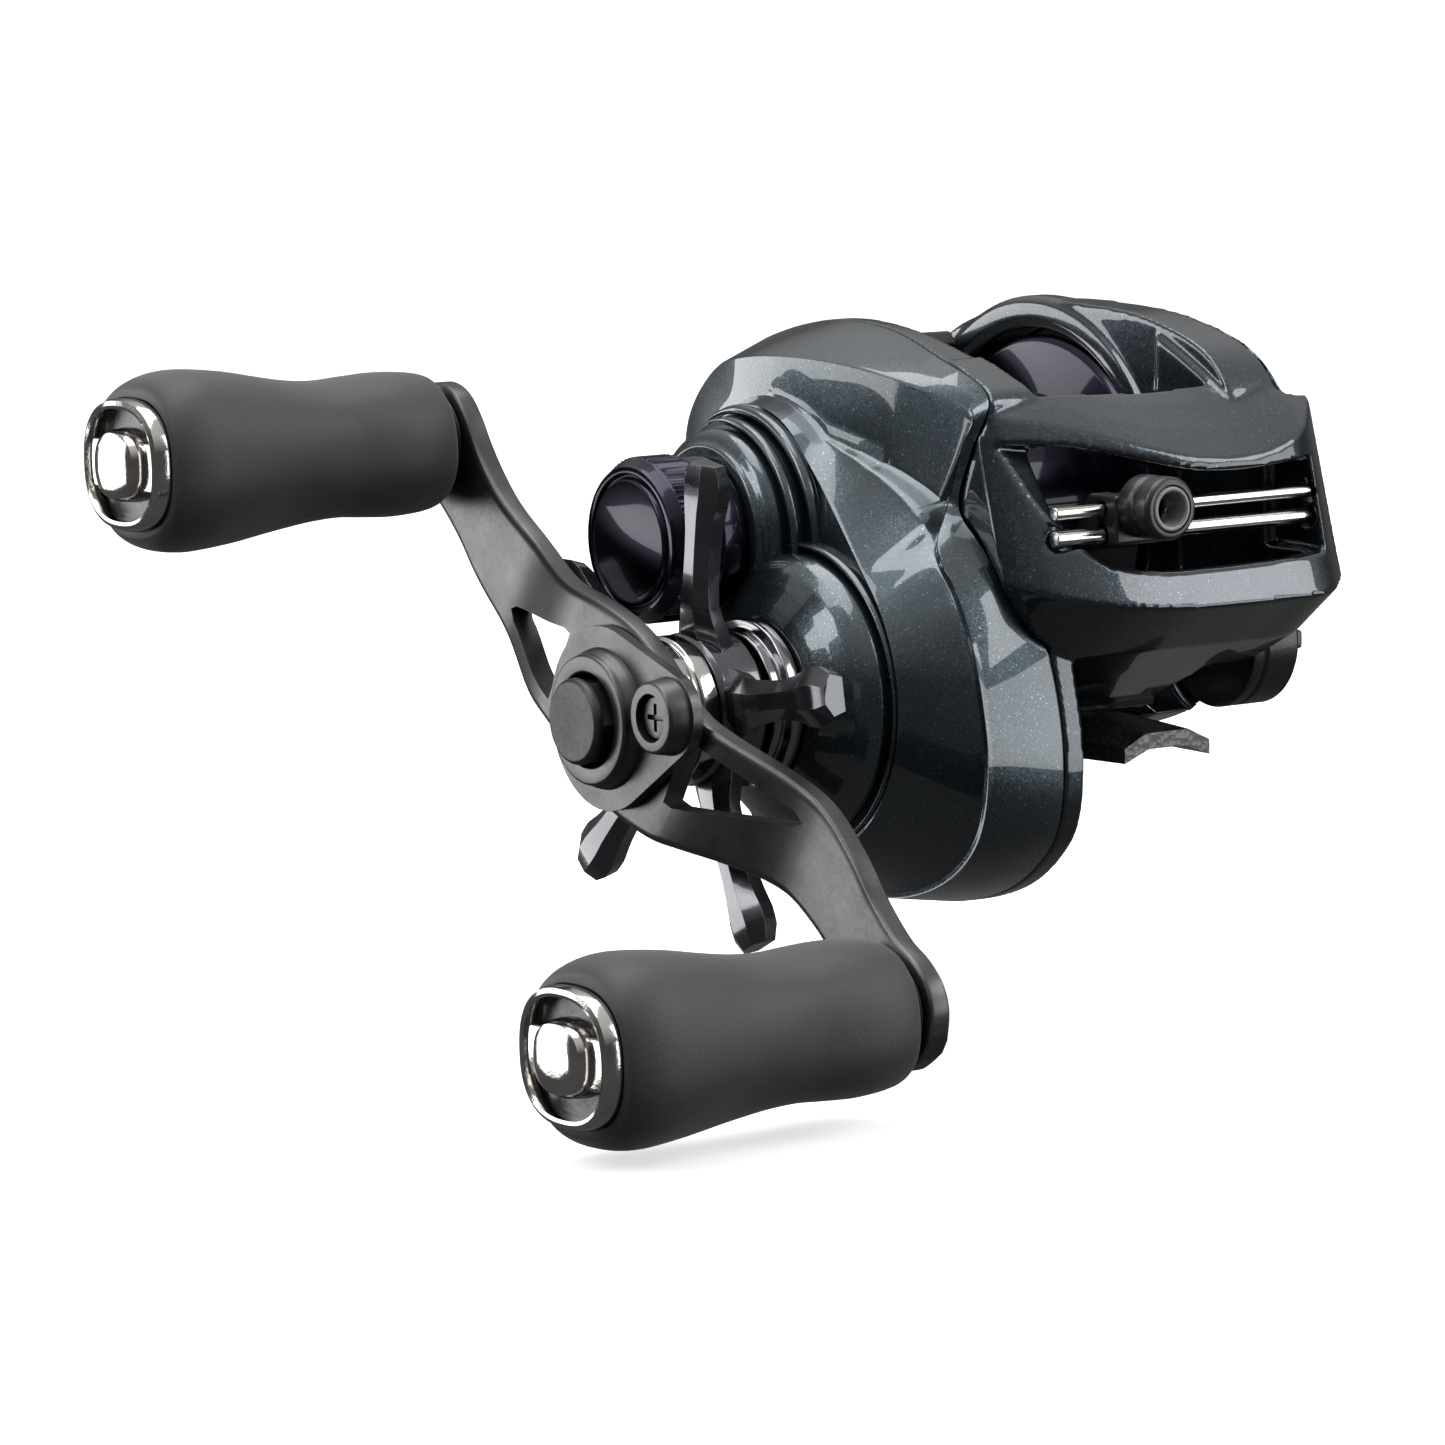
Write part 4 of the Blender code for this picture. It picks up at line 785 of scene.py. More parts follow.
def cover_solid():
    """Handle-side cover as one skin: seam, side wall, crease, face and the lip of its recess."""
    rays = []
    for f, e in zip(crease(HANDLE_SIDE), rim(HANDLE_SIDE)):
        angle, rows = face_ray(f)
        across = Vector((cos(angle), sin(angle)))
        wall = Vector((e[2] - f[2], e[0] - f[0], e[1] - f[1]))
        ray = [(-e[2], *(e.xy - 0.3 * across)), (-e[2] - 0.04, *(e.xy - 0.1 * across)),
               (0.035 * wall.x - e[2], *(e.xy - 0.035 * wall.yz))]
        ray += [(-(f[2] + wall.x * t), f[0] + wall.y * t, f[1] + wall.z * t) for t in (0.5, 0.07)]
        ray.append((0.1 - f[2], *(f.xy - 0.05 * across)))
        ray += [(-height, DRIVE[0] + r * across.x, DRIVE[1] + r * across.y) for r, height in rows]
        rays.append(ray)
    return raw(bridge(list(zip(*rays)), HUB))


def cover_rooms():
    """The rooms for the gears and the pinion, as cutters."""
    return [raw(turned([(-12.0, 0.0), (-12.0, 17.0), (-21.4, 17.0), (-25.0, 12.0),
                        (-25.0, 5.8), (-31.8, 5.8), (-31.8, 4.6), (-34.4, 4.6),
                        (-34.4, 0.0)], 60), DRIVE),
            raw(turned([(-12.0, 0.0), (-12.0, 9.4), (-25.3, 9.4), (-25.3, 4.6), (-28.7, 4.6),
                        (-28.7, 3.6), (-37.0, 3.6), (-37.0, 0.0)], 48), SPOOL)]


def cover_shell():
    """Handle-side cover, hollow, with three drilled posts for its screws."""
    cover = cover_solid()
    cut(cover, *cover_rooms())
    cut(cover, side_hollow(HANDLE_SIDE, -1, 1.6))
    for y, z, end in POSTS:
        join(cover, raw(disc(-end, -15.0, 2.2, 24), (y, z)))
        bore(cover, (y, z), GAP - end, -10.0, 1.0, 20)
    return piece("cover_shell", cover, PEARL, "reel_body",
                 ("handle_side_cover",), 40)


def gear_dome():
    """Dome over the drive gear, with a ring lip round its foot and room for the cap."""
    profile = [(-20.6, 0.0), (-20.6, 14.2), (-26.9, 14.2), (-27.3, 13.95), (-27.1, 13.65),
               (-26.3, 13.55), (-26.3, 13.25), (-27.9, 13.2), (-28.9, 12.75), (-29.9, 11.95),
               (-30.9, 10.7), (-31.8, 9.2), (-32.3, 8.1), (-32.4, 7.6), (-32.4, 0.0)]
    dome = raw(turned(fillet(profile, 0.25, 3), 180), DRIVE)
    cut(dome, raw(disc(-45.0, -29.85, 8.05, 96), SPOOL), *cover_rooms())
    piece("gear_dome", bevelled(dome, 0.12, 2, 40), PEARL, "reel_body",
          (), 40, True)


def cap_tower():
    """Stepped tower that carries the cast-control cap, with two fins trailing off its front."""
    profile = [(-20.6, 0.0), (-20.6, 11.2), (-24.4, 11.0), (-24.9, 11.0), (-25.4, 10.6),
               (-25.8, 10.6), (-26.6, 10.5), (-27.0, 9.9), (-27.6, 9.8), (-28.3, 9.7),
               (-28.9, 9.3), (-29.3, 8.6), (-29.8, 8.3), (-29.8, 5.8), (-35.0, 5.8), (-35.0, 0.0)]
    tower = raw(turned(fillet(profile, 0.3, 3), 144), SPOOL)
    cut(tower, *cover_rooms())
    piece("cap_tower", tower, PEARL, "reel_body", (), 40)
    for number, (radius, x, start, stop, thick) in enumerate(
            ((11.3, -25.4, 200.0, 60.0, 0.75), (10.5, -27.2, 215.0, 75.0, 0.6)), 1):
        rings = []
        for k in range(41):
            share = k / 40
            angle = radians(start + (stop - start) * share)
            size = thick * min(1.0, 6 * share + 0.12, 4 * (1 - share) + 0.12)
            out = radius + 0.9 * (1 - share) ** 2
            y, z = SPOOL[0] + out * cos(angle), SPOOL[1] + out * sin(angle)
            rings.append([(x - size * cos(turn), y + 0.7 * size * sin(turn) * cos(angle),
                           z + 0.7 * size * sin(turn) * sin(angle))
                          for turn in (2 * pi * j / 14 for j in range(14))])
        piece(f"tower_fin_{number}", raw(bridge(rings)), PEARL, "reel_body",
              (), 60)


# ---- frame ----
def plate(side, sign, inner, hole):
    """Side plate of the frame with a round hole at the spool."""
    outer = rim(side)
    slab = raw(bridge([at_x(outer, sign * inner), outward(outer, sign, 1.0)], HUB))
    return bore(slab, SPOOL, -40, 40, hole, 96)


def beyond(side, sign):
    """Everything outside the seam surface of one side, to trim the frame with."""
    outer = shrink(rim(side), -0.15)
    return raw(bridge([outward(outer, sign, -SEAM), at_x(outer, sign * 40)], HUB))


def nose():
    """Hood and lower bar as one skin across the reel, before the window is cut."""
    rings = []
    for x, ty, tz, fy, fz, sy, sz, ly, lz, hy, hz in smooth(NOSE, 6):
        hood = [(x, ty + (fy - ty) * t, tz + (fz - tz) * t + 0.9 * sin(pi * t)) for t in
                (0.0, 0.2, 0.4, 0.6, 0.8, 0.93)]
        rings.append(hood + [(x, fy, fz), (x, sy, sz), (x, ly, lz), (x, hy, hz), (x, -15.0, 2.2)])
    return raw(bridge_flat(rings))


def nose_front(x, z):
    """y of the nose's front face, between the fold of the hood and the lower bar."""
    rows = smooth(NOSE, 6)
    before, after = next((a, b) for a, b in zip(rows, rows[1:]) if a[0] <= x <= b[0])
    row = before.lerp(after, (x - before[0]) / (after[0] - before[0]))
    share = (z - row[6]) / (row[4] - row[6])
    return row[5] + (row[3] - row[5]) * share


def window():
    """Cutter for the window, flared towards the front."""
    edge = smooth(WINDOW_TOP, 6) + smooth(WINDOW_FOOT, 6)[:-1]
    rings = [[], [], []]
    for x, z, flare_x, flare_z in edge:
        front, deep = nose_front(flare_x, flare_z), nose_front(x, z) + FLARE_DEPTH
        rings[0].append((flare_x + 0.4 * (flare_x - x), front - 0.4 * (deep - front),
                         flare_z + 0.4 * (flare_z - z)))
        rings[1].append((x, deep, z))
        rings[2].append((x, max(deep, -27.2) + 0.1, z))
    return bridge_flat(rings)


def carriage_bay():
    """The hollow behind the window where the line guide travels."""
    side = [(-15.0, 5.0), (-26.0, 9.0), (-32.6, 12.4), (-34.6, 16.0), (-34.6, 20.0),
            (-32.4, 25.2), (-28.0, 28.4), (-24.0, 30.0), (-15.0, 31.0)]
    return bridge([[(x, -15.0 + (y + 15.0) * share, z) for y, z in side]
                   for x, share in ((-13.4, 0.78), (-10.0, 0.96), (10.0, 0.96), (13.4, 0.94))])


def frame_shell():
    """Side plates, nose, deck and back as one casting, cut open for the spool and line guide."""
    shell = plate(HANDLE_SIDE, -1, 11.6, 4.2)
    palm = plate(PALM_SIDE, 1, 9.4, 17.0)
    collar = raw(turned([(9.2, 17.2), (8.9, 17.9), (8.9, 19.4), (9.7, 20.0), (12.0, 20.0),
                         (12.0, 17.2)], 144), SPOOL)
    deck = raw(block(-13.0, 13.0, -16.0, 15.0, 1.9, 3.2))
    back = raw(prism([(18.4, 11.0), (20.4, 10.6), (17.4, 4.6), (13.8, 1.9), (10.0, 1.9),
                      (13.6, 5.6)], -12.5, 12.5))
    join(shell, palm, collar, nose(), deck, back)
    opening = prism([(-24.6, 26.5), (-24.6, 50.0), (30.0, 50.0), (30.0, 12.5), (16.0, 12.5),
                     (0.0, 24.0)], -11.63, 8.8)
    tools = [raw(carriage_bay()), raw(disc(-11.65, 20.0, 16.7, 144), SPOOL), raw(opening),
             raw(window()), beyond(HANDLE_SIDE, -1), beyond(PALM_SIDE, 1)]
    cut(shell, *tools)
    for y, z, _ in POSTS:
        bore(shell, (y, z), -20.0, -10.0, 1.35, 20)
    worm = axis_of("worm_gear")
    for axis, x0, x1, radius in ((DRIVE, -20.0, -10.0, 4.5), (worm, -20.0, -10.0, 1.6),
                                 (worm, 10.0, 15.2, 1.6)):
        bore(shell, axis, x0, x1, radius, 40)
    for rod in RODS:
        bore(shell, axis_of(rod), -15.2, 15.2, 1.05, 24)
    for screw in FOOT_SCREWS:
        hole = upright(disc(1.0, 5.0, 1.1, 20))
        cut(shell, raw(hole, (centre(screw).y, 0.0)))
    bore(shell, DIAL, 9.0, 36.0, 6.8, 60)
    soften(shell, rounds=8)
    stud = raw(disc(-16.8, -12.6, 1.6, 28), axis_of("idler_gear"))
    pins = [raw(disc(-24.4, -12.6, 0.5, 16), (SPOOL[0] + y, SPOOL[1] + 3.8)) for y in (-6.2, 6.2)]
    join(shell, stud, *pins)
    return piece("frame_shell", shell, FRAME_PAINT, "reel_body",
                 ("main_frame",), 60)


def palm_shell():
    """Palm-side cover with the spool's bearing boss and the seats of its two dials."""
    cover = side_solid(PALM_SIDE, 1, 1.0)
    cut(cover, side_hollow(PALM_SIDE, 1, 1.5))
    join(cover, raw(turned([(15.6, 4.5), (15.6, 6.0), (21.6, 6.0), (21.6, 4.5)], 60), SPOOL))
    bore(cover, DIAL, 10.0, 30.0, 6.8, 72)
    bore(cover, SPOOL, 21.9, 30.0, 7.3, 96)
    return piece("palm_shell", soften(cover), PEARL, "reel_body",
                 ("palm_side_cover",), 60)


cover_shell()
gear_dome()
cap_tower()
frame_shell()
palm_shell()


# ---- spool, cap and dials ----
def spool_body():
    flange = [(6.4, 9.0), (10.2, 9.6), (11.0, 13.2), (11.0, 14.2), (10.8, 14.3), (10.8, 14.6),
              (11.0, 14.7), (11.0, 16.2), (10.2, 16.2), (9.8, 15.6), (9.0, 10.6)]
    half = fillet([(0.0, 10.6)] + list(reversed(flange)) + [(6.4, 4.0), (8.6, 3.4), (8.6, 1.5)],
                  0.18, 2)[1:]
    other = [(-x, r) for x, r in reversed(half)]
    solid = raw(turned(half + other, 144), SPOOL)
    piece("spool_body", solid, NAVY, "spool_set", ("spool",), 25)


def cast_cap():
    """Anodised cap: recessed disc, chamfer, knurled band and smooth skirt."""
    profile = fillet([(-36.2, 0.0), (-36.2, 6.2), (-30.1, 6.2), (-30.1, 7.35), (-32.6, 7.35),
                      (-32.8, 7.1), (-33.2, 7.1), (-33.4, 7.62), (-37.0, 7.62), (-37.2, 7.5),
                      (-37.9, 7.0), (-38.2, 6.9), (-38.2, 6.3), (-37.8, 6.1), (-37.8, 5.9),
                      (-38.3, 5.7), (-38.4, 5.5), (-38.4, 0.0)], 0.12, 2)

    def knurl(x, angle):
        return 0.14 * cos(80 * angle) if -36.95 < x < -33.45 else 0.0
    piece("cast_cap", raw(turned(profile, 384, knurl), SPOOL), NAVY, "cast_control",
          ("cast_control_cap",), 30)


def dials():
    """Brake dial and release dial of the palm side."""
    x0 = low("brake_dial").x

    def grip(x, angle):
        return 0.16 * cos(30 * angle) if x0 + 0.3 < x < x0 + 1.3 else 0.0
    profile = fillet([(x0, 0.0), (x0, 6.8), (x0 + 1.2, 6.8), (x0 + 1.8, 6.1), (x0 + 1.8, 5.2),
                      (x0 + 1.5, 5.0), (x0 + 1.5, 0.0)], 0.15)
    piece("brake_knob_cap", raw(turned(profile, 240, grip), SPOOL), CHARCOAL, "brake_knob",
          ("brake_dial",))
    profile = fillet([(14.8, 0.0), (14.8, 6.3), (16.0, 6.3), (16.3, 6.0), (16.6, 6.3),
                      (20.0, 6.3), (20.6, 5.7), (20.6, 0.0)], 0.15)

    def notches(x, angle):
        return 0.1 * cos(40 * angle) if 16.9 < x < 19.7 else 0.0
    dial = raw(turned(profile, 240, notches), DIAL)
    bar = bevelled(raw(block(20.3, 21.8, -5.0, 5.0, -0.9, 0.9), DIAL), 0.35, 3)
    piece("release_knob", join(dial, bar), BLACK, "side_release",
          ("release_dial",), 45, True)


def thumb_bar():
    """Thumb bar with anti-slip ridges across its top."""
    outline = [(14.9, 33.0), (13.6, 34.4), (14.8, 35.9), (19.6, 33.8), (22.4, 30.2), (21.8, 29.45)]
    bar = bevelled(raw(prism(outline, -11.2, 9.0)), 0.45, 3)
    ridges = []
    for k in range(5):
        y, z = 15.6 + 0.9 * k, 35.55 - 0.394 * k
        ridges.append(raw(disc(-9.4, 7.2, 0.22, 12), (y, z - 0.05)))
    piece("thumb_bar_body", join(bar, *ridges), BLACK, "thumb_lever",
          ("thumb_bar",), 45, True)


spool_body()
cast_cap()
dials()
thumb_bar()


# ---- collars and star drag ----
def collars():
    """Plated collars each side of the star."""
    profile = fillet([(-35.2, 4.0), (-35.2, 6.8), (-34.0, 6.8), (-34.0, 7.8), (-32.7, 7.8),
                      (-32.7, 4.9), (-34.7, 4.9), (-34.7, 4.0)], 0.2)
    piece("star_collar", raw(turned(profile, 96), DRIVE), COLLAR, "reel_body",
          ("star_spacer",))
    profile = fillet([(-45.4, 3.0), (-45.4, 6.4), (-44.9, 6.9), (-43.7, 6.9), (-43.5, 6.6),
                      (-43.1, 6.6), (-42.9, 6.9), (-41.3, 6.9), (-41.3, 3.0)], 0.15)
    piece("handle_collar", raw(turned(profile, 96), DRIVE), NICKEL, "handle",
          ("handle_spacer",))


STAR_ARMS = 5
STAR_PHASE = 80.5                   # degrees from the front to the first arm


def star_wheel():
    """Faceted arms on a hub."""
    hub = raw(turned(fillet([(-40.9, 4.8), (-40.9, 6.6), (-40.4, 7.0), (-36.4, 7.0),
                             (-35.9, 6.6), (-35.9, 4.8)], 0.1), 90), DRIVE)
    spans = [(5.6, 3.6, -40.3, -37.2), (8.0, 2.9, -40.8, -38.0), (10.0, 2.3, -41.1, -38.75),
             (13.5, 1.85, -41.2, -38.75), (16.5, 1.9, -41.3, -38.75), (18.6, 2.3, -41.45, -38.75),
             (20.0, 2.7, -41.5, -38.75), (21.6, 2.65, -41.5, -38.8), (23.0, 1.9, -41.2, -39.1)]
    for number in range(STAR_ARMS):
        angle = radians(STAR_PHASE + 360 / STAR_ARMS * number)
        rings = []
        for radius, half, outer, inner in smooth(spans[:-1], 2) + [Vector(spans[-1])]:
            ridge = 0.62 * outer + 0.38 * inner
            section = [(outer, -0.4 * half), (outer, 0.4 * half), (ridge, half),
                       (inner, 0.8 * half), (inner, -0.8 * half), (ridge, -half)]
            rings.append([(x, -radius * cos(angle) - t * sin(angle),
                           radius * sin(angle) - t * cos(angle)) for x, t in section])
        join(hub, raw(bridge_flat(rings), DRIVE))
    piece("star_wheel", bevelled(hub, 0.16, 2, 24), GLOSS_DARK, "star",
          ("star_drag",), 45, True)


collars()
star_wheel()


# ---- handle ----
def along_arm(s, t):
    """(y, z) about the drive axis of a point s along the handle and t across it."""
    return s * cos(SLOPE) - t * sin(SLOPE), s * sin(SLOPE) + t * cos(SLOPE)


ARM_FACE = 48.0                     # how far out the arm's face is at the hub
ARM_DIP = 4.3                       # and how far it drops towards the knobs
ARM_THICK = 2.2


def arm_out(s):
    """Outer face of the S-bent arm at distance s from the hub."""
    return ARM_FACE - ARM_DIP * smoothstep(9.0, 26.0, abs(s))


# s along the arm, the middle line's offset across it, half width
ARM = [(0.0, 0.0, 8.6), (4.0, 0.0, 8.2), (9.0, -0.4, 7.2), (13.0, -1.4, 6.5), (17.0, -2.4, 5.9),
       (21.0, -3.2, 5.4), (25.0, -3.5, 5.0), (30.0, -3.0, 4.6), (34.0, -1.9, 4.4),
       (37.0, -1.0, 4.6), (39.4, -0.3, 5.0), (42.0, 0.0, 5.4), (44.4, 0.0, 4.84),
       (46.2, 0.0, 3.4), (47.3, 0.0, 1.0)]
ARM_WINDOW = [(9.6, -5.4), (9.8, 2.0), (11.0, 1.8), (22.6, -5.0), (23.4, -5.9), (22.2, -6.4)]


def handle_bar():
    """Swept, S-bent double arm with a three-sided window each side of the hub."""
    stations = smooth([(-s, -t, half) for s, t, half in reversed(ARM[1:])] + ARM, 4)
    rings = []
    for s, t, half in stations:
        outer, inner = -arm_out(s), -arm_out(s) + ARM_THICK
        lip = min(0.95, 0.45 * half)
        section = [(outer, -half + lip), (outer, half - lip), (outer + 0.15, half - 0.3 * lip),
                   (outer + 0.5, half), (inner - 0.3, half), (inner, half - 0.3),
                   (inner, -half + 0.3), (inner - 0.3, -half), (outer + 0.5, -half),
                   (outer + 0.15, -half + 0.3 * lip)]
        rings.append([(x, *along_arm(s, t + across)) for x, across in section])
    arm = raw(bridge_flat(rings), DRIVE)
    bore(arm, DRIVE, -52, -40, 3.0, 40)
    for sign in (-1, 1):
        outline = [along_arm(sign * s, sign * t) for s, t in ARM_WINDOW]
        cut(arm, raw(prism(outline, -52, -38), DRIVE))
        y, z = along_arm(sign * ARM_REACH, 0)
        bore(arm, (DRIVE[0] + y, DRIVE[1] + z), -52, -38, 2.3, 32)
    bore(arm, SCREW, -52, -40, 0.95, 20)
    piece("handle_bar", bevelled(arm, 0.14, 2, 40), CHARCOAL, "handle",
          ("handle_arm",), 45, True)


def retainer():
    """Cover plate over the handle nut with a stepped boss, and a lug round its screw."""
    y, z = SCREW[0] - DRIVE[0], SCREW[1] - DRIVE[1]
    base = bevelled(raw(prism(around((0, 0, 8.4), (y, z, 3.9)), -49.4, -48.3), DRIVE), 0.3, 3)
    boss = raw(turned(fillet([(-48.9, 0.0), (-48.9, 6.6), (-50.0, 6.3), (-50.5, 6.0), (-51.2, 5.9),
                               (-51.2, 4.3), (-50.6, 4.3), (-50.6, 0.0)], 0.25), 90), DRIVE)
    lug = raw(turned(fillet([(-48.8, 0.0), (-48.8, 3.7), (-49.6, 3.5), (-51.4, 3.2), (-51.4, 0.0)],
                            0.3), 60), SCREW)
    join(base, boss, lug)
    bore(base, DRIVE, -54, -45, 4.35, 72)
    cut(base, raw(turned([(-54, 0.0), (-54, 2.2), (-49.7, 2.2), (-49.7, 0.95), (-45, 0.95),
                          (-45, 0.0)], 48), SCREW))
    piece("retainer_plate", base, CHARCOAL, "handle", ("nut_retainer",), 45, True)
    hexagon = [(4.05 * cos(pi * k / 3), 4.05 * sin(pi * k / 3)) for k in range(6)]
    nut = raw(prism(hexagon, -52.0, -48.3), DRIVE)
    bore(nut, DRIVE, -51.8, -40.0, 2.9, 48)
    cap = raw(turned(fillet([(-51.9, 0.0), (-51.9, 3.95), (-52.5, 3.9), (-52.8, 3.6),
                             (-52.8, 0.0)], 0.15), 72), DRIVE)
    piece("nut_cap", join(nut, cap), CHARCOAL_FLAT, "handle",
          ("handle_nut",), 45, True)
    head = raw(turned(fillet([(-50.8, 0.0), (-50.8, 1.9), (-50.0, 1.9), (-50.0, 0.7),
                              (-46.3, 0.7), (-46.3, 0.0)], 0.15), 48), SCREW)
    for half_y, half_z in ((1.25, 0.24), (0.24, 1.25)):
        cut(head, raw(block(-51.5, -50.35, -half_y, half_y, -half_z, half_z), SCREW))
    piece("cross_screw", head, CHARCOAL, "handle", ("retainer_screw",), 30)


KNOB = [(-44.6, 4.6, 4.6), (-45.2, 5.9, 5.8), (-46.4, 6.8, 6.6), (-49.9, 7.4, 6.9),
        (-53.2, 7.3, 6.7), (-56.4, 7.0, 6.4), (-59.8, 7.05, 6.5), (-63.4, 7.4, 7.0),
        (-67.6, 8.15, 7.8), (-71.4, 8.7, 8.3), (-73.6, 8.7, 8.25), (-75.3, 8.35, 7.8),
        (-76.3, 7.9, 7.2), (-76.6, 7.4, 6.7)]


def oval(x, half_y, half_z, power=0.82, twist=None):
    """Superellipse section of a knob, with a soft swelling on two sides if a twist is given."""
    points = []
    for k in range(72):
        angle = 2 * pi * k / 72
        c, s = cos(angle), sin(angle)
        swell = 1.0
        if twist is not None:
            swell += 0.022 * cos(2 * (angle - twist)) + 0.012 * cos(4 * (angle - twist))
        points.append((x, half_y * abs(c) ** power * (1 if c > 0 else -1) * swell,
                       half_z * abs(s) ** power * (1 if s > 0 else -1) * swell))
    return points


def knob(name):
    """Paddle knob: twisted soft grip, bright end hoop, button and two bridges."""
    axis = KNOBS[name]
    body = f"{name}_knob"
    rings = []
    for x, half_y, half_z in smooth(KNOB, 4):
        twist = radians(20 + 95 * smoothstep(-46.0, -74.0, x))
        rings.append(oval(x, half_y, half_z, 0.86, twist))
    grip = raw(bridge(rings), axis)
    bore(grip, axis, -75.4, -40.0, 2.6, 48)
    cut(grip, raw(bridge([oval(-76.1, 6.9, 6.2), oval(-80.0, 6.9, 6.2)]), axis))
    piece(f"{name}_grip", grip, GRIP, body, (f"knob_{name}",), 50)
    hoop = [oval(*row) for row in
            ((-76.3, 6.75, 6.05), (-77.6, 6.8, 6.1), (-78.1, 6.6, 5.9), (-78.3, 6.2, 5.5),
             (-78.2, 5.9, 5.2), (-77.7, 5.7, 5.0), (-76.6, 5.6, 4.9), (-76.3, 5.6, 4.9))]
    cap = raw(tube(hoop, True)[0], axis)
    button = raw(bridge([oval(*row) for row in
                         ((-76.4, 3.9, 3.5), (-78.2, 3.7, 3.3), (-78.8, 3.4, 3.0),
                          (-79.1, 2.8, 2.4), (-79.2, 1.6, 1.4))]), axis)
    bars = [bevelled(raw(block(-77.9, -76.4, side * 4.5 - 1.6, side * 4.5 + 1.6, -2.3, 2.3), axis),
                     0.3, 3) for side in (-1, 1)]
    floor = raw(bridge([oval(-76.3, 6.0, 5.3), oval(-76.75, 6.0, 5.3)]), axis)
    join(cap, button, *bars)
    piece(f"{name}_end_cap", cap, NICKEL, body, (f"knob_cap_{name}",), 30)
    piece(f"{name}_cap_floor", floor, BLACK, body)
    washer = raw(turned(fillet([(-44.3, 2.3), (-44.3, 4.4), (-44.0, 4.7), (-43.75, 4.4),
                                (-43.75, 2.3)], 0.1), 60), axis)
    piece(f"{name}_washer", washer, CHARCOAL_FLAT, "handle")


handle_bar()
retainer()
for end_name in KNOBS:
    knob(end_name)


# ---- level wind and foot ----
def rods():
    """Polished rods the line guide runs on."""
    for node, radius in RODS.items():
        profile = fillet([(-14.9, 0.0), (-14.9, radius), (14.9, radius), (14.9, 0.0)], 0.1)
        piece(f"{node}_bar", raw(turned(profile, 36), axis_of(node)), STEEL,
              "reel_body", (node,))


def guide():
    """Carriage on the rods, with the round eye that the line runs through."""
    middle = centre("guide_insert")
    x0, x1 = low("line_guide").x, high("line_guide").x
    outline = [(-33.7, 19.7), (-29.6, 19.2), (-28.6, 15.4), (-20.4, 15.4), (-20.4, 18.2),
               (-26.8, 18.9), (-29.6, 24.2), (-33.7, 24.2)]
    carriage = bevelled(raw(prism(outline, x0, x1)), 0.35, 3)
    eye = turned(fillet([(-38.0, 0.0), (-38.0, 2.6), (-37.6, 2.9), (-36.2, 2.9), (-35.9, 2.7),
                         (-35.4, 2.7), (-35.1, 2.9), (-33.65, 2.9), (-33.65, 0.0)], 0.15), 72)
    join(carriage, raw(lengthwise(eye, middle.x, 0.0, middle.z)))
    mouth = turned([(-42.0, 0.0), (-42.0, 2.3), (-34.4, 2.1), (-34.4, 0.0)], 48)
    throat = disc(-2.0, 12.0, 1.35, 40)
    bmesh.ops.rotate(throat, matrix=Matrix.Rotation(radians(90), 3, "Z"), verts=throat.verts)
    bmesh.ops.rotate(throat, matrix=Matrix.Rotation(radians(25), 3, "X"), verts=throat.verts)
    bmesh.ops.translate(throat, vec=(middle.x, -34.6, middle.z), verts=throat.verts)
    pawl = upright(disc(10.0, 30.0, 1.3, 32))
    bmesh.ops.translate(pawl, vec=(middle.x, centre("pawl").y, 0.0), verts=pawl.verts)
    upper, lower = (axis_of(rod) for rod in RODS)
    cut(carriage, raw(lengthwise(mouth, middle.x, 0.0, middle.z)), raw(throat),
        raw(disc(-20.0, 20.0, 0.85, 32), upper), raw(disc(-20.0, 20.0, 1.0, 32), lower), raw(pawl))
    piece("guide_carriage_body", carriage, BLACK, "guide_carriage",
          ("line_guide",), 45, True)
    insert = turned(fillet([(-38.1, 1.6), (-38.1, 2.05), (-34.7, 2.0), (-34.7, 1.6), (-35.6, 1.3),
                            (-36.9, 1.3)], 0.2), 60)
    piece("eye_ring", raw(lengthwise(insert, middle.x, 0.0, middle.z)), CERAMIC,
          "guide_carriage", ("guide_insert",), 50)


FOOT_HALF = 29.0                    # half the length of the foot


def foot_section(y):
    """Cross-section of the foot at y: a saddle underside with a flat middle."""
    share = abs(y) / FOOT_HALF
    half = 5.0 + 1.4 * (1 - share ** 2)
    top = 1.55 if abs(y) < 18.0 else 2.4 - 0.9 * share ** 2
    return [(-half, y, -1.1), (-2.2, y, 0.0), (2.2, y, 0.0), (half, y, -1.1),
            (half, y, top - 1.2), (0.5 * half, y, top), (-0.5 * half, y, top),
            (-half, y, top - 1.2)]


def foot():
    """Crinkle-finished foot with its two countersunk holes."""
    front = [8.0, 17.5, 18.1, 20.0, 23.0, 26.0, 28.2, FOOT_HALF]
    stations = [-y for y in reversed(front)] + [0.0] + front
    body = raw(bridge_flat([foot_section(y) for y in stations]))
    for screw in FOOT_SCREWS:
        hole = upright(turned([(-3.0, 0.0), (-3.0, 1.9), (0.9, 1.9), (0.9, 1.1), (5.0, 1.1),
                               (5.0, 0.0)], 40))
        cut(body, raw(hole, (centre(screw).y, 0.0)))
    piece("foot_plate", bevelled(body, 0.2, 2, 40), CRINKLE, "reel_body",
          ("reel_foot",), 45, True)


rods()
guide()
foot()


# ---- floor, light and camera ----
FLOOR_DROP = 1.5 * MM
FLOOR_SIZE = 9.0


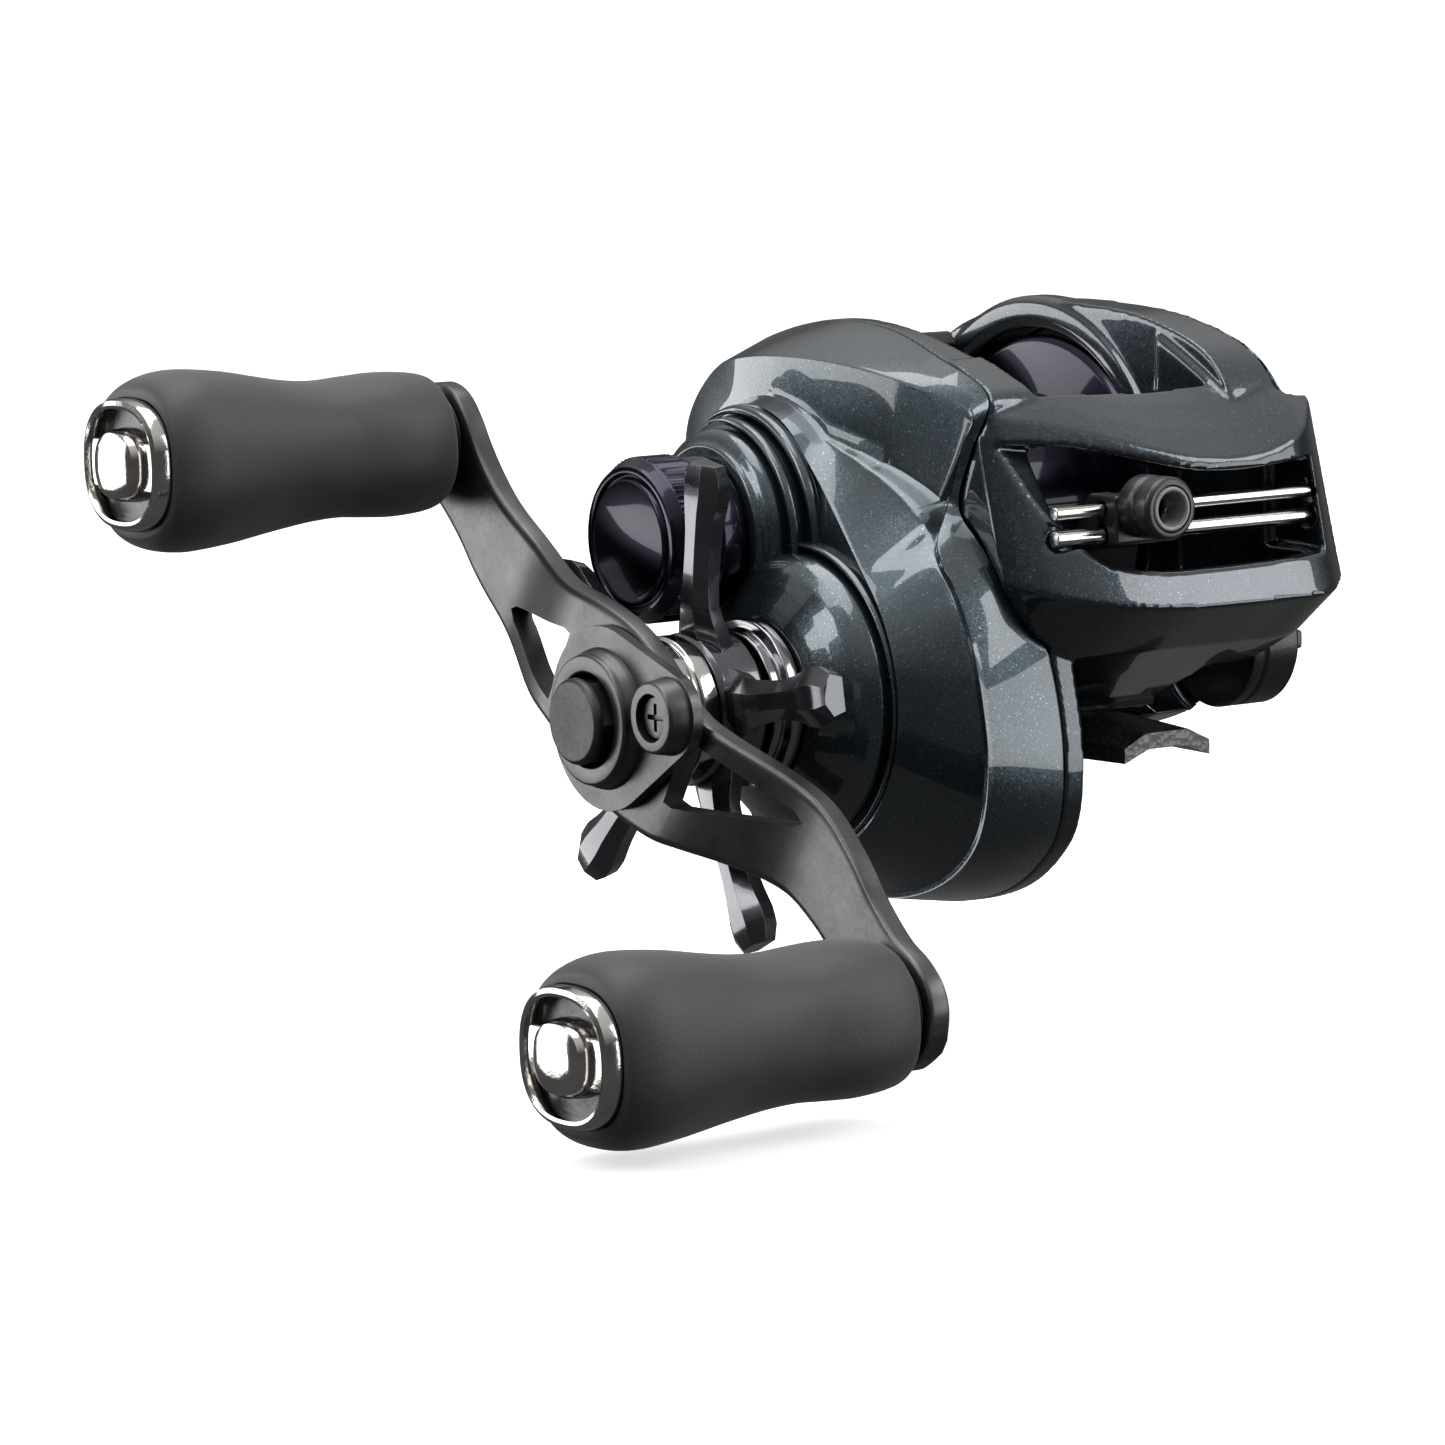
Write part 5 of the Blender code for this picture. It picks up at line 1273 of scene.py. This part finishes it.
def stage():
    """Pale floor just under the lowest knob."""
    depth = CAD_BOX[0].z - FLOOR_DROP
    bm = bmesh.new()
    bmesh.ops.create_grid(bm, x_segments=1, y_segments=1, size=FLOOR_SIZE)
    bmesh.ops.translate(bm, vec=(0.0, 0.0, depth), verts=bm.verts)
    mesh = bpy.data.meshes.new("studio_floor")
    bm.to_mesh(mesh)
    bm.free()
    floor = add("studio_floor", mesh)
    f = Finish("studio_floor", (0.93, 0.93, 0.93), 0.0, 0.9)
    f.link(f.ramp(f.noise(30.0), [(0.0, (0.925, 0.925, 0.925)), (1.0, (0.935, 0.935, 0.935))]),
           "Base Color")
    f.set("Specular IOR Level", 0.1)
    f.set("Emission Color", (1.0, 1.0, 1.0, 1.0))
    f.set("Emission Strength", 0.55)
    mesh.materials.append(f.mat)
    floor.visible_glossy = False
    floor.visible_diffuse = False


def softbox(name, place, size, power):
    """Rectangular soft light aimed at the reel's middle."""
    lamp = bpy.data.lights.new(name, "AREA")
    lamp.shape = "RECTANGLE"
    lamp.size, lamp.size_y = size
    lamp.energy = power
    ob = add(name, lamp)
    ob.location = place
    aim = Vector((0.0, -0.005, 0.015)) - Vector(place)
    ob.rotation_euler = aim.to_track_quat("-Z", "Y").to_euler()


def sky():
    """Grey studio surroundings, bright overhead."""
    world = bpy.data.worlds.new("studio_sky")
    world.use_nodes = True
    bpy.context.scene.world = world
    nodes, links = world.node_tree.nodes, world.node_tree.links
    place = nodes.new("ShaderNodeTexCoord")
    split = nodes.new("ShaderNodeSeparateXYZ")
    height = nodes.new("ShaderNodeMapRange")
    height.inputs["From Min"].default_value = -1.0
    tone = nodes.new("ShaderNodeValToRGB")
    levels = ((0.0, 0.1), (0.42, 0.12), (0.5, 0.1), (0.62, 0.1), (0.84, 0.7), (1.0, 0.9))
    fill_ramp(tone, [(spot, (level, level, level)) for spot, level in levels])
    links.new(place.outputs["Generated"], split.inputs[0])
    links.new(split.outputs["Z"], height.inputs["Value"])
    links.new(height.outputs["Result"], tone.inputs["Fac"])
    links.new(tone.outputs["Color"], nodes["Background"].inputs["Color"])


def camera():
    """Camera fitted to the photograph."""
    turn, tilt, roll = radians(-35.04), radians(7.55), radians(-1.21)
    back = Vector((sin(turn) * cos(tilt), -cos(turn) * cos(tilt), sin(tilt)))
    right = (-back).cross(Vector((0.0, 0.0, 1.0))).normalized()
    up = right.cross(-back).normalized()
    rolled_right = cos(roll) * right + sin(roll) * up
    rolled_up = cos(roll) * up - sin(roll) * right
    cam = bpy.data.cameras.new("camera")
    cam.lens, cam.sensor_width = 163.6, 36.0
    cam.clip_start, cam.clip_end = 0.01, 30.0
    ob = add("camera", cam)
    axes = Matrix((rolled_right, rolled_up, back)).transposed()
    ob.matrix_world = Matrix.Translation((-0.3769, -0.4953, 0.08245)) @ axes.to_4x4()
    bpy.context.scene.camera = ob


stage()
sky()
softbox("top_box", (-0.05, 0.05, 0.55), (0.55, 0.35), 2.2)
softbox("front_box", (0.4, -0.5, 0.42), (0.45, 0.3), 2.2)
softbox("left_box", (-0.5, 0.0, 0.36), (0.2, 0.3), 1.1)
softbox("side_box", (-0.5, 0.6, 0.05), (0.6, 0.5), 4.0)
softbox("nose_box", (0.45, -0.6, 0.04), (0.55, 0.36), 2.2)
camera()
bpy.context.scene.view_settings.view_transform = "Standard"
